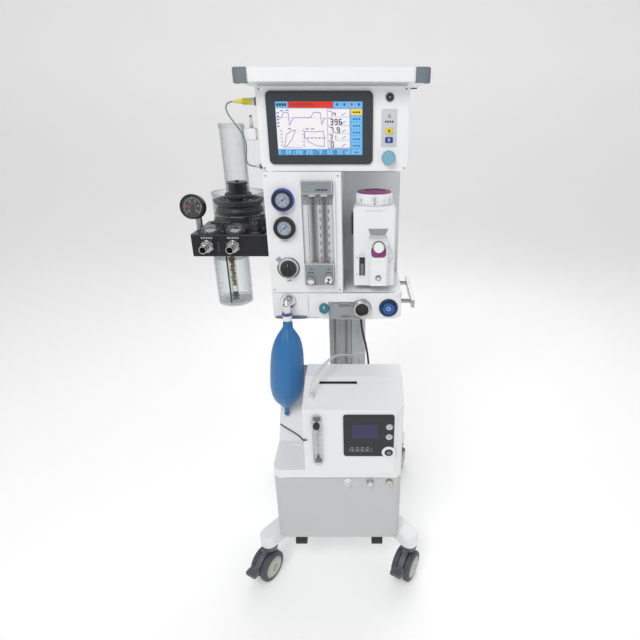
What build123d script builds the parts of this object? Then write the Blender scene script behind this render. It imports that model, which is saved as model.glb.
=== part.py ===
from build123d import *
import math
import os

# Anesthesia machine on a four-caster stand, with an oxygen concentrator on its base.
# Modelled with X across (right +), Y front to back (front of the cabinet at 0), Z up
# from the floor.  At the end everything is moved so that the origin is the middle of
# the footprint.  All sizes in millimetres.

# ---- overall sizes
body_width = 394.0
body_depth = 260.0
wall = 3.0
run_fit = 0.05
gap = 0.4
over = 1.0            # how far a cutter runs past the face it cuts
leg_height = 40.0
leg_top = 168.0
column_height = 680.0
box_height = 88.0
bay_height = 351.0
monitor_height = 208.0
tray_gap = 7.0
tray_height = 32.0
tray_width = 481.0
tray_front = 50.0
tray_back = 35.0
tray_rim = 12.0
tray_floor = 8.0

# ---- levels and edges that follow from them
box_z = leg_top + column_height
bay_z = box_z + box_height
monitor_z = bay_z + bay_height
monitor_top = monitor_z + monitor_height
tray_z = monitor_top + tray_gap
left = -body_width / 2
right = body_width / 2

# ---- base and casters
stem_x = 232.0
front_stem_y = -200.0
rear_stem_y = 325.0
hub_y = 80.0
hub_half = 75.0
hub_front = 20.0
leg_width = 58.0
leg_round = 6.0
stem_radius = 6.0
stem_depth = 28.0
wheel_radius = 50.0
wheel_width = 21.0
wheel_gap = 20.0
tread_round = 6.0
hub_disc_radius = 30.0
hub_disc_height = 3.0
hub_overlap = 2.0
axle_radius = 5.0
trail = 22.0
fork_thick = 16.0
web_top_gap = 6.0
web_low = 46.0
collar_radius = 24.0
collar_height = 24.0
pedal_reach = 34.0
pedal_pin_z = 78.0
pedal_pin_radius = 2.5
pedal_half = 5.0
pedal_lug_up = 6.0
pedal_lug_down = 8.0
pedal_lug_front = 4.0
pedal_foot_round = 6.0
pedal_foot = 26.0
pedal_foot_width = 40.0
front_heading = 240.0
rear_heading = 250.0

# ---- column
column_width = 80.0
column_y = 170.0
column_round = 4.0
slot_width = 8.0
slot_depth = 7.0
slot_offset = 20.0
duct_width = 48.0
duct_depth = 70.0
duct_round = 22.0
duct_forward = 2.0

# ---- cabinet
bay_left = 18.0
bay_depth = 222.0
corner_round = 24.0
corner_low = 12.0
shaft_radius = 3.0
shaft_reach = 10.0
knob_edge = 1.5
mark_width = 2.0
cover_round = 10.0
vent_rows = 6
vent_up = 200.0
vent_pitch = 14.0
vent_height = 5.0
vent_half = 120.0
inlet_inset = 60.0
inlet_up = 40.0
inlet_half_width = 26.0
inlet_half_height = 18.0
inlet_proud = 12.0
inlet_floor = 2.0
socket_half_width = 13.0
socket_half_height = 9.0
pin_spread = 7.0
pin_half_width = 1.0
pin_half_height = 3.0
pin_end = 10.0
core_inset = 40.0
core_front = 60.0
core_back = 220.0
core_height = 190.0
supply_inset = 60.0
supply_front = 80.0
supply_back = 200.0
supply_height = 80.0

# ---- monitor
bezel_left = -172.0
bezel_right = 103.0
bezel_low = 19.0
bezel_high = 197.0
bezel_thick = 5.0
bezel_round = 13.0
screen_left = -149.0
screen_right = 77.0
screen_low = 42.0
screen_high = 173.0
screen_back = 2.0
key_x = 146.0
key_width = 20.0
key_height = 13.6
key_proud = 2.5
key_depth = 9.0
yellow_up = 102.5
blue_up = 80.0
encoder_up = 35.0
encoder_radius = 16.0
encoder_proud = 20.0
socket_up = 182.0
socket_radius = 10.4
socket_proud = 3.0
socket_rim = 4.0
screen_margin = 6.0
key_round = 2.0
tray_round = 20.0
pocket_round = 12.0
neck_inset = 6.0

# ---- instrument panel
gauge_x = -145.0
gauge_radius = 30.0
gauge_thick = 14.0
gauge_rim = 3.0
gauge_recess = 6.0
gauge_ups = (276.0, 198.0)
needle_width = 2.4
needle_thick = 1.0
needle_hub = 4.0
needle_share = 0.7
needle_tail = 8.0
resting_angle = 215.0
selector_x = -141.0
selector_up = 78.0
selector_radius = 23.0
selector_proud = 24.0

# ---- gas flowmeter on the panel
flow_left = -92.0
flow_right = -6.0
flow_thick = 22.0
flow_low = 31.0
flow_low_top = 97.0
flow_head = 294.0
flow_high = 330.0
flow_plate = 2.0
flow_round = 3.0
tube_xs = (-62.0, -30.0)
tube_radius = 9.0
tube_wall = 2.0
flow_knob_xs = (-73.0, -22.0)
flow_knob_up = 52.0
flow_knob_radius = 11.0
flow_knob_proud = 23.0

# ---- vaporizer
vap_x = 111.0
vap_width = 122.0
vap_front = 14.0
vap_depth = 136.0
vap_low = 19.0
vap_high = 253.0
filler_chamfer = 5.0
vap_round = 8.0
vap_chamfer = 6.0
dial_radius = 54.0
dial_height = 36.0
dial_shaft = 12.0
dial_margin = 6.0
dial_edge = 4.0
notch_half = 3.0
notch_deep = 2.0
dial_seat = 8.0
backbar_low = 110.0
backbar_high = 180.0
backbar_width = 90.0
filler_x = 123.0
filler_width = 55.0
filler_low = 27.0
filler_high = 162.0
filler_proud = 29.0
cap_up = 146.0
cap_radius = 16.0
cap_length = 16.0

# ---- controls on the lower box
control_up = 40.0
acgo_x = -40.0
acgo_radius = 16.0
acgo_proud = 20.0
aux_x = 75.0
aux_radius = 27.0
aux_bore = 20.5
aux_proud = 20.0
aux_edge = 3.0
aux_inside = 4.0
aux_face = 14.0
flush_x = 156.0
flush_collar_radius = 26.5
flush_radius = 20.0
flush_proud = 14.0
flush_travel = 5.0
flush_collar = 8.0
flush_seat = 0.5
rail_gap = 32.0
rail_thick = 10.0
rail_height = 25.0
rail_front = 29.0
rail_length = 239.0
rail_post_radius = 8.0
rail_post_inset = 30.0
rail_round = 2.0

# ---- breathing circuit
block_left = left - 224.0
block_front = 12.0
block_depth = 190.0
block_low = 109.0
block_high = 175.0
port_radius = 11.0
port_bore = 9.0
port_length = 50.0
port_bead = 12.5
port_xs = (left - 178.0, left - 102.0)
port_z_up = 33.0
bead_back = 30.0
bead_length = 6.0
port_flange = 14.0
port_flange_radius = 15.5
block_round = 4.0
seat_depth = 10.0
stem_hole = 15.0
stem_reach = 14.0
dome_xs = (left - 173.0, left - 100.0)
dome_back = 28.0
dome_ring_radius = 26.0
dome_ring_height = 12.0
dome_radius = 22.0
valve_seat_radius = 14.0
dome_rise = 10.0
dome_round = 6.0
dome_wall = 3.0
dome_roof = 4.0
canister_x = left - 140.0
canister_back = 95.0
canister_radius = 55.0
canister_height = 177.0
canister_wall = 3.0
canister_round = 5.0
canister_tube = 12.0
canister_tube_bore = 9.0
canister_floor = 6.0
bellows_x = left - 109.0
bellows_back = 140.0
ring_radius = 82.0
ring_height = 22.0
ring_round = 4.0
cup_radius = 80.0
cup_height = 78.0
cup_wall = 3.0
neck_radius = 31.0
plate_radius = 73.0
plate_thick = 5.0
plate_up = 45.0
flange_radius = 38.0
flange_up = 63.0
flange_thick = 5.0
fold_radius = 30.0
fold_inner = 26.0
fold_count = 6
fold_pitch = 6.0
fold_half_gap = 1.5
chamber_radius = 36.0
chamber_wall = 2.0
chamber_height = 204.0
lid_thick = 4.0
gauge_post_x = left - 213.0
gauge_post_back = 68.0
gauge_post_radius = 8.5
gauge_post_forward = 10.0
gauge_post_drop = 12.0
gauge_arm_half = 7.0
gauge_arm_low = 20.0
gauge_arm_high = 8.0
gauge_arm_margin = 6.0
airway_tail = 10.0
airway_x = left - 215.0
airway_y = 42.0
airway_z = bay_z + 249.0
airway_radius = 35.0
airway_thick = 22.0
airway_tilt = 12.0
lever_x = left - 136.5
lever_back = 26.0
lever_length = 56.0
lever_rise = 29.0
lever_stem = 5.0
lever_bar = 9.0
apl_x = left - 42.0
apl_back = 33.0
apl_radius = 17.0
apl_height = 43.0
apl_edge = 2.0

# ---- bag
bag_x = -149.0
bag_y = -38.0
bag_port_up = 62.0
arm_radius = 12.0
arm_flange = 22.0
arm_flange_thick = 8.0
arm_ring = 3.0
arm_ring_low = 18.0
arm_ring_high = 28.0
neck_z = box_z + 14.0
bag_lean = 4.0
bag_profile = ((0.0, 2.0), (11.0, 2.0), (13.0, -20.0), (36.0, -56.0), (50.0, -110.0),
               (53.0, -180.0), (53.0, -228.0), (48.0, -252.0), (34.0, -280.0), (12.0, -303.0),
               (7.0, -310.0), (7.0, -340.0), (0.0, -340.0))

# ---- airway sensor on the left of the monitor
sensor_y = 35.0
sensor_plug_up = 173.0
sensor_up = 78.0
plug_length = 17.0
plug_radius = 9.0
plug_cone = (8.0, 3.5, 52.0)
plug_cone_out = 42.0
sensor_out = 38.0
sensor_in = 12.0
sensor_half = 13.0
sensor_height = 30.0
sensor_round = 3.0
holder_half = 8.0
boot_cone = (6.0, 3.0, 32.0)
boot_up = 45.0
gland_up = 10.0
gland_out = 20.0
gland_in = 12.0
gland_radius = 4.0

# ---- oxygen concentrator
conc_width = 392.0
conc_front = -217.0
conc_depth = 350.0
skirt_height = 248.0
cover_front_height = 248.0
cover_height = 289.0
ridge_front = 118.0
ridge_back = 191.0
cover_back_height = 200.0
conc_wall = 3.0
conc_round = 28.0
niche_right = -96.0
niche_floor = 31.0
niche_depth = 137.0
niche_back = 247.0
niche_back_height = 184.0
handle_x = 4.0
handle_width = 112.0
panel_left = 21.0
panel_right = 168.0
panel_low = 86.0
panel_high = 232.0
panel_thick = 3.0
button_x = 154.0
button_ups = (191.0, 156.0)
button_radius = 8.0
switch_up = 100.0
switch_radius = 12.0
meter_x = -54.5
meter_width = 29.0
meter_low = 58.0
meter_high = 234.0
meter_thick = 12.0
meter_knob_up = 206.0
meter_knob_radius = 10.0
meter_knob_proud = 16.0
fitting_z = 402.0
fitting_xs = (31.6, 100.0, 159.0)
foot_x = 125.0
foot_drop = 50.0
foot_radius = 18.0
foot_half = 18.0
foot_neck = 15.0
foot_front = 24.0
foot_back = 45.0
ridge_fall = 13.0
clear_of = 50.0
slot_share = 0.8
handle_half_depth = 6.0
handle_deep = 16.0
panel_round = 8.0
cap_inset = 1.5
cap_edge = 1.0
switch_proud = 3.0
button_proud = 2.5
meter_tube = 4.0
meter_tube_low = 20.0
meter_tube_high = 44.0
compressor_half = 80.0
compressor_front = 60.0
compressor_back = 20.0
compressor_height = 150.0
bed_x = 60.0
bed_back = 80.0
bed_height = 300.0
bed_radius = 35.0
fitting_radius = 8.0
fitting_length = 14.0
barb_radius = 7.0
barb_low = 21.0
elbow_radius = 6.5
elbow_drop = 24.0
elbow_branch = 16.0
lead_gland_radius = 8.0
lead_plug_half = 13.0
lead_plug_back = 10.0
lead_plug_length = 34.0

# ---- cords: hand-laid routes, each point where the cord passes
hose_radius = 4.5
arc_share = 0.45
cut_radius = 30.0
cut_length = 10.0
hose_route = ((-71.0, -178.0, 692.0), (-70.0, -172.0, 718.0), (-55.0, -142.0, 741.0),
              (-33.0, -102.0, 752.0), (-12.0, -62.0, 752.0), (9.0, -24.0, 738.0),
              (32.0, 14.0, 716.0), (52.0, 56.0, 690.0), (64.0, 104.0, 660.0),
              (68.0, 140.0, 618.0), (68.0, 150.0, 572.0), (68.0, 150.5, 532.0))
lead_radius = 3.75
lead_low = 402.0
lead_fall = box_z - 12.0 - lead_low
lead_route = ((70.0, 150.0, lead_low + lead_fall), (71.0, 149.0, lead_low + 0.889 * lead_fall),
              (77.0, 150.0, lead_low + 0.76 * lead_fall), (90.0, 153.0, lead_low + 0.64 * lead_fall),
              (98.0, 157.0, lead_low + 0.512 * lead_fall), (101.0, 158.5, lead_low + 0.378 * lead_fall),
              (104.0, 156.0, lead_low + 0.244 * lead_fall), (109.0, 150.0, lead_low + 0.115 * lead_fall),
              (110.0, 147.0, lead_low))
sensor_route = ((left - 68.0, 35.0, monitor_z + 173.0), (left - 82.0, 34.0, monitor_z + 171.0),
                (left - 88.0, 29.0, monitor_z + 158.0), (left - 80.0, 20.0, monitor_z + 141.0),
                (left - 64.0, 11.0, monitor_z + 122.0), (left - 46.0, 8.0, monitor_z + 98.0),
                (left - 36.0, 9.0, monitor_z + 70.0), (left - 42.0, 18.0, monitor_z + 42.0),
                (left - 46.0, 30.0, monitor_z + 20.0), (left - 36.0, 35.0, monitor_z + 10.5),
                (left - 20.0, 35.2, monitor_z + 10.0))
sensor_lead_radius = 1.8

nodes = {}


def block(x0, x1, y0, y1, z0, z1):
    """A box between two opposite corners."""
    middle = Pos((x0 + x1) / 2, (y0 + y1) / 2, (z0 + z1) / 2)
    return middle * Box(x1 - x0, y1 - y0, z1 - z0)


def post(x, y, z0, z1, radius):
    """An upright cylinder."""
    return Pos(x, y, (z0 + z1) / 2) * Cylinder(radius, z1 - z0)


def rod(x, z, y0, y1, radius):
    """A cylinder that runs front to back."""
    return Pos(x, (y0 + y1) / 2, z) * Rot(90, 0, 0) * Cylinder(radius, y1 - y0)


def bar(y, z, x0, x1, radius):
    """A cylinder that runs across."""
    return Pos((x0 + x1) / 2, y, z) * Rot(0, 90, 0) * Cylinder(radius, x1 - x0)


def rounded(x0, x1, y0, y1, z0, z1, radius, axis):
    """A box whose edges along one axis are rounded."""
    solid = block(x0, x1, y0, y1, z0, z1)
    return fillet(solid.edges().filter_by(axis), radius)


def round_rim(solid, axis, radius, end=0):
    """Round the edges of the end face that is lowest (0) or highest (-1) along an axis."""
    face = solid.faces().sort_by(axis)[end]
    return fillet(face.edges(), radius)


def knob(x, z, face_y, proud, radius):
    """A turned knob on a shaft that passes into the panel behind it."""
    cap = round_rim(rod(x, z, face_y - proud, face_y - gap, radius), Axis.Y, knob_edge)
    half = mark_width / 2
    flat = block(x - half, x + half, face_y - proud - over, face_y - proud + over,
                 z + radius / 3, z + radius)
    return cap + rod(x, z, face_y - gap, face_y + shaft_reach, shaft_radius) - flat


def shaft_hole(x, z, face_y, radius=shaft_radius):
    """The running-fit hole for a knob's shaft."""
    return rod(x, z, face_y - wall, face_y + 2 * shaft_reach, radius + run_fit)


def beyond(route, end):
    """The space past a cord's end face, which trims the fitting that the cord meets."""
    start = Vector(*route[end])
    way = Vector(*route[1 if end == 0 else -2]) - start
    cutter = Cylinder(cut_radius, cut_length, align=(Align.CENTER, Align.CENTER, Align.MIN))
    return Plane(origin=start, z_dir=way) * cutter


def group(*shapes):
    """Several separate solids that share one node."""
    return Compound(children=[solid for shape in shapes for solid in shape.solids()])


# ---------------------------------------------------------------- base
def leg(x, y):
    """One leg, a flat bar from the hub to its caster, with a rounded end."""
    length = math.hypot(x, y - hub_y)
    turn = math.degrees(math.atan2(y - hub_y, x))
    beam = Pos(length / 2, 0, leg_top - leg_height / 2) * Box(length, leg_width, leg_height)
    beam += post(length, 0, leg_top - leg_height, leg_top, leg_width / 2)
    beam = round_rim(beam, Axis.Z, leg_round, -1)
    return Pos(0, hub_y, 0) * Rot(0, 0, turn) * beam


def stems():
    """Plan places of the four caster stems, with the side and end in words."""
    return (("front_left", -stem_x, front_stem_y, front_heading),
            ("front_right", stem_x, front_stem_y, front_heading),
            ("rear_left", -stem_x, rear_stem_y, rear_heading),
            ("rear_right", stem_x, rear_stem_y, rear_heading))


def base_frame():
    hub_back = column_y + column_width + wall
    frame = rounded(-hub_half, hub_half + duct_width / 2, hub_front, hub_back,
                    leg_top - leg_height, leg_top, leg_round, Axis.Z)
    for name, x, y, heading in stems():
        frame += leg(x, y)
    for name, x, y, heading in stems():
        bottom = leg_top - leg_height
        frame -= post(x, y, bottom - over, bottom + stem_depth + gap, stem_radius + run_fit)
    return frame


def caster_fork(braked):
    """Stem, collar and centre web of a twin-wheel caster, trailing along +X."""
    under = leg_top - leg_height
    fork = post(0, 0, under - wall, under + stem_depth, stem_radius)
    fork += post(0, 0, under - collar_height, under - gap, collar_radius)
    web = block(-collar_radius / 2, trail + collar_radius / 2, -fork_thick / 2, fork_thick / 2,
                web_low, under - web_top_gap)
    web += rod(trail, wheel_radius, -fork_thick / 2, fork_thick / 2, collar_radius * 0.75)
    fork += web
    reach = wheel_gap / 2 + wheel_width - hub_overlap
    fork += rod(trail, wheel_radius, -reach, reach, axle_radius)
    if braked:
        inner = fork_thick / 2 - over + gap
        pin_x = trail + pedal_reach
        for side in (-1, 1):
            y0, y1 = sorted((side * inner, side * (wheel_gap / 2 - gap)))
            fork += block(trail, pin_x + pedal_lug_front, y0, y1,
                          pedal_pin_z - pedal_lug_down, pedal_pin_z + pedal_lug_up)
        fork += rod(pin_x, pedal_pin_z, -inner - over, inner + over, pedal_pin_radius)
    return fork


def caster_wheels():
    """A pair of wheels with their hub discs, on one axle."""
    pair = None
    for side in (-1, 1):
        inner = side * wheel_gap / 2
        outer = side * (wheel_gap / 2 + wheel_width)
        y0, y1 = sorted((inner, outer))
        disc = rod(trail, wheel_radius, y0, y1, wheel_radius)
        rims = disc.edges().filter_by(GeomType.CIRCLE)
        disc = fillet(rims, tread_round)
        d0, d1 = sorted((outer - side * over, outer + side * hub_disc_height))
        disc += rod(trail, wheel_radius, d0, d1, hub_disc_radius)
        b0, b1 = sorted((inner - side * over, outer - side * (hub_overlap - gap)))
        disc -= rod(trail, wheel_radius, b0, b1, axle_radius + run_fit)
        pair = disc if pair is None else pair + disc
    return pair


def brake_pedal():
    """The foot pedal of a braked caster: an arm on its pin, and a wide foot outside the wheels."""
    pin_x = trail + pedal_reach
    half = fork_thick / 2 - over
    foot_x0 = trail + wheel_radius + pedal_half
    arm = block(pin_x - pedal_half, foot_x0 + over, -half, half,
                pedal_pin_z - pedal_half, pedal_pin_z + pedal_half)
    foot = rounded(foot_x0, foot_x0 + pedal_foot, -pedal_foot_width / 2, pedal_foot_width / 2,
                   pedal_pin_z - pedal_half, pedal_pin_z + wall, pedal_foot_round, Axis.Z)
    pedal = arm + foot
    return pedal - rod(pin_x, pedal_pin_z, -half - over, half + over, pedal_pin_radius + run_fit)


def make_base():
    nodes["base_frame"] = base_frame()
    for name, x, y, heading in stems():
        place = Pos(x, y, 0) * Rot(0, 0, heading)
        braked = name.startswith("front")
        nodes["caster_fork_" + name] = place * caster_fork(braked)
        nodes["caster_wheels_" + name] = place * caster_wheels()
        if braked:
            nodes["brake_pedal_" + name] = place * brake_pedal()


def column():
    """Square aluminium column with two slots in its front and two in its back."""
    half = column_width / 2
    back = column_y + column_width
    bar_solid = rounded(-half, half, column_y, back, leg_top, box_z, column_round, Axis.Z)
    for x in (-slot_offset, slot_offset):
        for y in (column_y, back - slot_depth):
            bar_solid -= block(x - slot_width / 2, x + slot_width / 2, y, y + slot_depth,
                               leg_top - over, box_z + over)
    return bar_solid


def cable_duct():
    """Round-edged cable duct against the right side of the column."""
    x0 = column_width / 2
    y0 = column_y - duct_forward
    duct = block(x0, x0 + duct_width, y0, y0 + duct_depth, leg_top, box_z)
    outer = duct.edges().filter_by(Axis.Z).sort_by(Axis.X)[-2:]
    return fillet(outer, duct_round)


# ---------------------------------------------------------------- cabinet
def control_box():
    """Lower front box: a hollow casing that is open at the back."""
    box = block(left, right, 0, body_depth, box_z, bay_z)
    side = box.edges().filter_by(Axis.Z).sort_by(Axis.Y)[:2].sort_by(Axis.X)[-1:]
    box = fillet(side, corner_round)
    low = box.edges().filter_by(Axis.Y).sort_by(Axis.Z)[:2]
    box = fillet(low, corner_low)
    box -= block(left + wall, right - corner_round, wall, body_depth + over,
                 box_z + wall, bay_z - wall)
    z = box_z + control_up
    box -= shaft_hole(acgo_x, z, 0)
    box -= shaft_hole(flush_x, z, 0, flush_radius / 2)
    box -= rod(aux_x, z, -over, wall + over, aux_bore)
    return box


def cabinet_shell():
    """Instrument cabinet, with the vaporizer bay open at its right front."""
    shell = block(left, bay_left, 0, body_depth, bay_z, monitor_z)
    shell -= block(left + wall, bay_left - wall, wall, body_depth + over,
                   bay_z + wall, monitor_z - wall)
    shell += block(bay_left - wall, right, bay_depth, body_depth, bay_z, monitor_z)
    shell -= block(bay_left, right - wall, bay_depth + wall, body_depth + over,
                   bay_z + wall, monitor_z - wall)
    shell -= shaft_hole(selector_x, bay_z + selector_up, 0)
    for x in flow_knob_xs:
        shell -= shaft_hole(x, bay_z + flow_knob_up, 0)
    return shell


def rear_cover():
    """Rear cover of box and cabinet, with its vents and the mains inlet."""
    y = body_depth
    cover = rounded(left + wall, right - wall, y, y + wall, box_z + wall, monitor_z - wall,
                    cover_round, Axis.Y)
    for row in range(vent_rows):
        z = bay_z + vent_up + vent_pitch * row
        cover -= block(-vent_half, vent_half, y - over, y + wall + over, z, z + vent_height)
    x = left + inlet_inset
    z = box_z + inlet_up
    cover += block(x - inlet_half_width, x + inlet_half_width, y, y + inlet_proud,
                   z - inlet_half_height, z + inlet_half_height)
    floor = y + inlet_floor
    cover -= block(x - socket_half_width, x + socket_half_width, floor, y + inlet_proud + over,
                   z - socket_half_height, z + socket_half_height)
    for pin_x in (x - pin_spread, x, x + pin_spread):
        cover += block(pin_x - pin_half_width, pin_x + pin_half_width, floor, y + pin_end,
                       z - pin_half_height, z + pin_half_height)
    return cover


def ventilator_core():
    """Ventilator valve block on the cabinet floor, with the power supply on top of it."""
    floor = bay_z + wall
    shelf = floor + core_height
    core = block(left + core_inset, bay_left - core_inset, core_front, core_back, floor, shelf)
    supply = block(left + supply_inset, bay_left - supply_inset, supply_front, supply_back,
                   shelf, shelf + supply_height)
    return core + supply


def make_cabinet():
    nodes["column"] = group(column(), cable_duct())
    nodes["cabinet"] = control_box() + cabinet_shell()
    nodes["rear_cover"] = rear_cover()


# ---------------------------------------------------------------- monitor and tray
def monitor_housing():
    """Monitor casing, round at its lower corners, open at the top under the tray."""
    shell = block(left, right, 0, body_depth, monitor_z, monitor_top)
    low = shell.edges().filter_by(Axis.Y).sort_by(Axis.Z)[:2]
    shell = fillet(low, corner_round)
    shell -= block(left + wall, right - wall, wall, body_depth - wall,
                   monitor_z + corner_round, monitor_top + over)
    shell -= block(screen_left - screen_margin, screen_right + screen_margin, -over, wall + over,
                   monitor_z + screen_low - screen_margin, monitor_z + screen_high + screen_margin)
    shell -= shaft_hole(key_x, monitor_z + encoder_up, 0)
    for up in (yellow_up, blue_up):
        half_x = key_width / 2 + gap
        half_z = key_height / 2 + gap
        z = monitor_z + up
        shell -= block(key_x - half_x, key_x + half_x, -over, wall + over, z - half_z, z + half_z)
    z = monitor_z + socket_up
    shell += rod(key_x, z, -socket_proud, wall, socket_radius)
    shell -= rod(key_x, z, -socket_proud - over, over, socket_radius - socket_rim)
    return shell - bar(sensor_y, monitor_z + gland_up, left - over, left + gland_in, gland_radius)


def monitor_bezel():
    frame = rounded(bezel_left, bezel_right, -bezel_thick, 0,
                    monitor_z + bezel_low, monitor_z + bezel_high, bezel_round, Axis.Y)
    frame -= block(screen_left, screen_right, -bezel_thick - over, over,
                   monitor_z + screen_low, monitor_z + screen_high)
    return frame


def screen():
    return block(screen_left, screen_right, -bezel_thick + screen_back, wall,
                 monitor_z + screen_low, monitor_z + screen_high)


def key(up):
    half = key_width / 2
    z = monitor_z + up
    return rounded(key_x - half, key_x + half, -key_proud, key_depth,
                   z - key_height / 2, z + key_height / 2, key_round, Axis.Y)


def top_tray():
    """Flat tray with a raised rim, on a neck that closes the monitor casing."""
    half = tray_width / 2
    y1 = body_depth + tray_back
    tray = rounded(-half, half, -tray_front, y1, tray_z, tray_z + tray_height, tray_round, Axis.Z)
    pocket = rounded(-half + tray_rim, half - tray_rim, -tray_front + tray_rim, y1 - tray_rim,
                     tray_z + tray_floor, tray_z + tray_height + over, pocket_round, Axis.Z)
    neck = block(left + neck_inset, right - neck_inset, neck_inset, body_depth - neck_inset,
                 monitor_top, tray_z)
    return tray - pocket + neck


def make_monitor():
    nodes["monitor_housing"] = monitor_housing()
    nodes["monitor_bezel"] = monitor_bezel()
    nodes["screen"] = screen()
    nodes["encoder_knob"] = knob(key_x, monitor_z + encoder_up, 0, encoder_proud, encoder_radius)
    nodes["yellow_key"] = key(yellow_up)
    nodes["blue_key"] = key(blue_up)
    nodes["top_tray"] = top_tray()


# ---------------------------------------------------------------- panel instruments
def gauge_case(up):
    """Round pressure gauge case, with a recess for its pointer."""
    z = bay_z + up
    case = rod(gauge_x, z, -gauge_thick, 0, gauge_radius)
    return case - rod(gauge_x, z, -gauge_thick - over, -gauge_thick + gauge_recess,
                      gauge_radius - gauge_rim)


def pointer(length, tail):
    """A thin pointer along +X about a pivot at the origin, lying across Y."""
    arm = block(-tail, length, -needle_thick, 0, -needle_width / 2, needle_width / 2)
    return arm + rod(0, 0, -2 * needle_thick, 0, needle_hub)


def gauge_needle(up, angle):
    back = -gauge_thick + gauge_recess
    needle = pointer(gauge_radius * needle_share, needle_tail)
    return Pos(gauge_x, back, bay_z + up) * Rot(0, angle, 0) * needle


def flow_block():
    """Needle-valve block, header and back plate that hold the two flow tubes."""
    body = rounded(flow_left, flow_right, -flow_thick, 0, bay_z + flow_low,
                   bay_z + flow_low_top, flow_round, Axis.Y)
    body += rounded(flow_left, flow_right, -flow_thick, 0, bay_z + flow_head,
                    bay_z + flow_high, flow_round, Axis.Y)
    body += block(flow_left + flow_plate, flow_right - flow_plate, -flow_plate, 0,
                  bay_z + flow_low_top, bay_z + flow_head)
    for x in flow_knob_xs:
        body -= rod(x, bay_z + flow_knob_up, -flow_thick - over, over, shaft_radius + run_fit)
    return body


def flow_tubes():
    """The two clear flow tubes, between the lower block and the header."""
    tubes = []
    y = -flow_thick / 2 - flow_plate / 2
    low = bay_z + flow_low_top
    high = bay_z + flow_head
    for x in tube_xs:
        tube = post(x, y, low, high, tube_radius)
        tube -= post(x, y, low - over, high + over, tube_radius - tube_wall)
        tubes.append(tube)
    return group(*tubes)


def flow_knob(x):
    return knob(x, bay_z + flow_knob_up, -flow_thick, flow_knob_proud, flow_knob_radius)


def make_panel():
    gauges = [gauge_case(up) + gauge_needle(up, resting_angle) for up in gauge_ups]
    nodes["pressure_gauges"] = group(*gauges)
    nodes["selector_knob"] = knob(selector_x, bay_z + selector_up, 0, selector_proud, selector_radius)
    nodes["flow_block"] = flow_block()
    nodes["flow_tubes"] = flow_tubes()
    nodes["flow_knob_left"] = flow_knob(flow_knob_xs[0])
    nodes["flow_knob_right"] = flow_knob(flow_knob_xs[1])


# ---------------------------------------------------------------- vaporizer
def vaporizer_body():
    """Vaporizer body with its filler block, hung on a bar at the back of the bay."""
    x0 = vap_x - vap_width / 2
    x1 = vap_x + vap_width / 2
    body = rounded(x0, x1, vap_front, vap_front + vap_depth,
                   bay_z + vap_low, bay_z + vap_high, vap_round, Axis.Z)
    top = body.faces().sort_by(Axis.Z)[-1]
    body = chamfer(top.edges(), vap_chamfer)
    body += block(vap_x - backbar_width / 2, vap_x + backbar_width / 2, vap_front + vap_depth - over,
                  bay_depth, bay_z + backbar_low, bay_z + backbar_high)
    half = filler_width / 2
    front = vap_front - filler_proud
    filler = block(filler_x - half, filler_x + half, front, vap_front + over,
                   bay_z + filler_low, bay_z + filler_high)
    edges = filler.edges().filter_by(Axis.Z).sort_by(Axis.Y)[:2]
    body += chamfer(edges, filler_chamfer)
    dial_y = vap_front + dial_radius + dial_margin
    body -= post(vap_x, dial_y, bay_z + vap_high - dial_seat, bay_z + vap_high + over,
                 dial_shaft + run_fit)
    body -= rod(filler_x, bay_z + cap_up, front - over, front + shaft_reach + over,
                shaft_radius + run_fit)
    return body


def vaporizer_dial():
    dial_y = vap_front + dial_radius + dial_margin
    z = bay_z + vap_high
    dial = round_rim(post(vap_x, dial_y, z + gap, z + dial_height, dial_radius), Axis.Z,
                     dial_edge, -1)
    notch = block(vap_x - notch_half, vap_x + notch_half, dial_y - dial_radius - over,
                  dial_y - dial_radius + notch_deep, z + dial_height / 2, z + dial_height + over)
    return dial - notch + post(vap_x, dial_y, z - dial_seat + gap, z + gap, dial_shaft)


def filler_cap():
    front = vap_front - filler_proud
    return knob(filler_x, bay_z + cap_up, front, cap_length, cap_radius)


def make_vaporizer():
    nodes["vaporizer_body"] = vaporizer_body()
    nodes["vaporizer_dial"] = vaporizer_dial()
    nodes["filler_cap"] = filler_cap()


# ---------------------------------------------------------------- lower box controls
def flush_button():
    """Blue push button with its guide stem."""
    z = box_z + control_up
    back = -flush_seat - flush_travel - gap
    cap = round_rim(rod(flush_x, z, -flush_proud - over, back, flush_radius), Axis.Y, mark_width)
    return cap + rod(flush_x, z, -flush_proud, 2 * shaft_reach, flush_radius / 2)


def front_ports():
    """Chrome outlet port, and the collar that guards the flush button."""
    z = box_z + control_up
    port = round_rim(rod(aux_x, z, -aux_proud, 0, aux_radius), Axis.Y, aux_edge)
    port -= rod(aux_x, z, -aux_proud - over, over, aux_bore)
    inner = rod(aux_x, z, -aux_proud + aux_face, wall + aux_inside, aux_bore)
    inner -= rod(aux_x, z, -aux_proud, wall + aux_inside + over, port_radius)
    collar = rod(flush_x, z, -flush_collar, 0, flush_collar_radius)
    collar -= rod(flush_x, z, -flush_collar - over, over, flush_radius + gap)
    seat = rod(flush_x, z, -flush_seat, 0, flush_radius + over)
    seat -= rod(flush_x, z, -over, over, flush_radius / 2 + over)
    return group(port + inner, collar + seat)


def side_rail():
    """Equipment rail along the right side, on two posts."""
    x0 = right + rail_gap
    z = box_z + control_up
    rail = rounded(x0, x0 + rail_thick, rail_front, rail_front + rail_length,
                   z - rail_height / 2, z + rail_height / 2, rail_round, Axis.Y)
    for y in (rail_front + rail_post_inset, body_depth - rail_post_inset):
        rail += bar(y, z, right, x0, rail_post_radius)
    return rail


def make_controls():
    nodes["acgo_knob"] = knob(acgo_x, box_z + control_up, 0, acgo_proud, acgo_radius)
    nodes["flush_button"] = flush_button()
    nodes["side_rail"] = side_rail()


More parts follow.
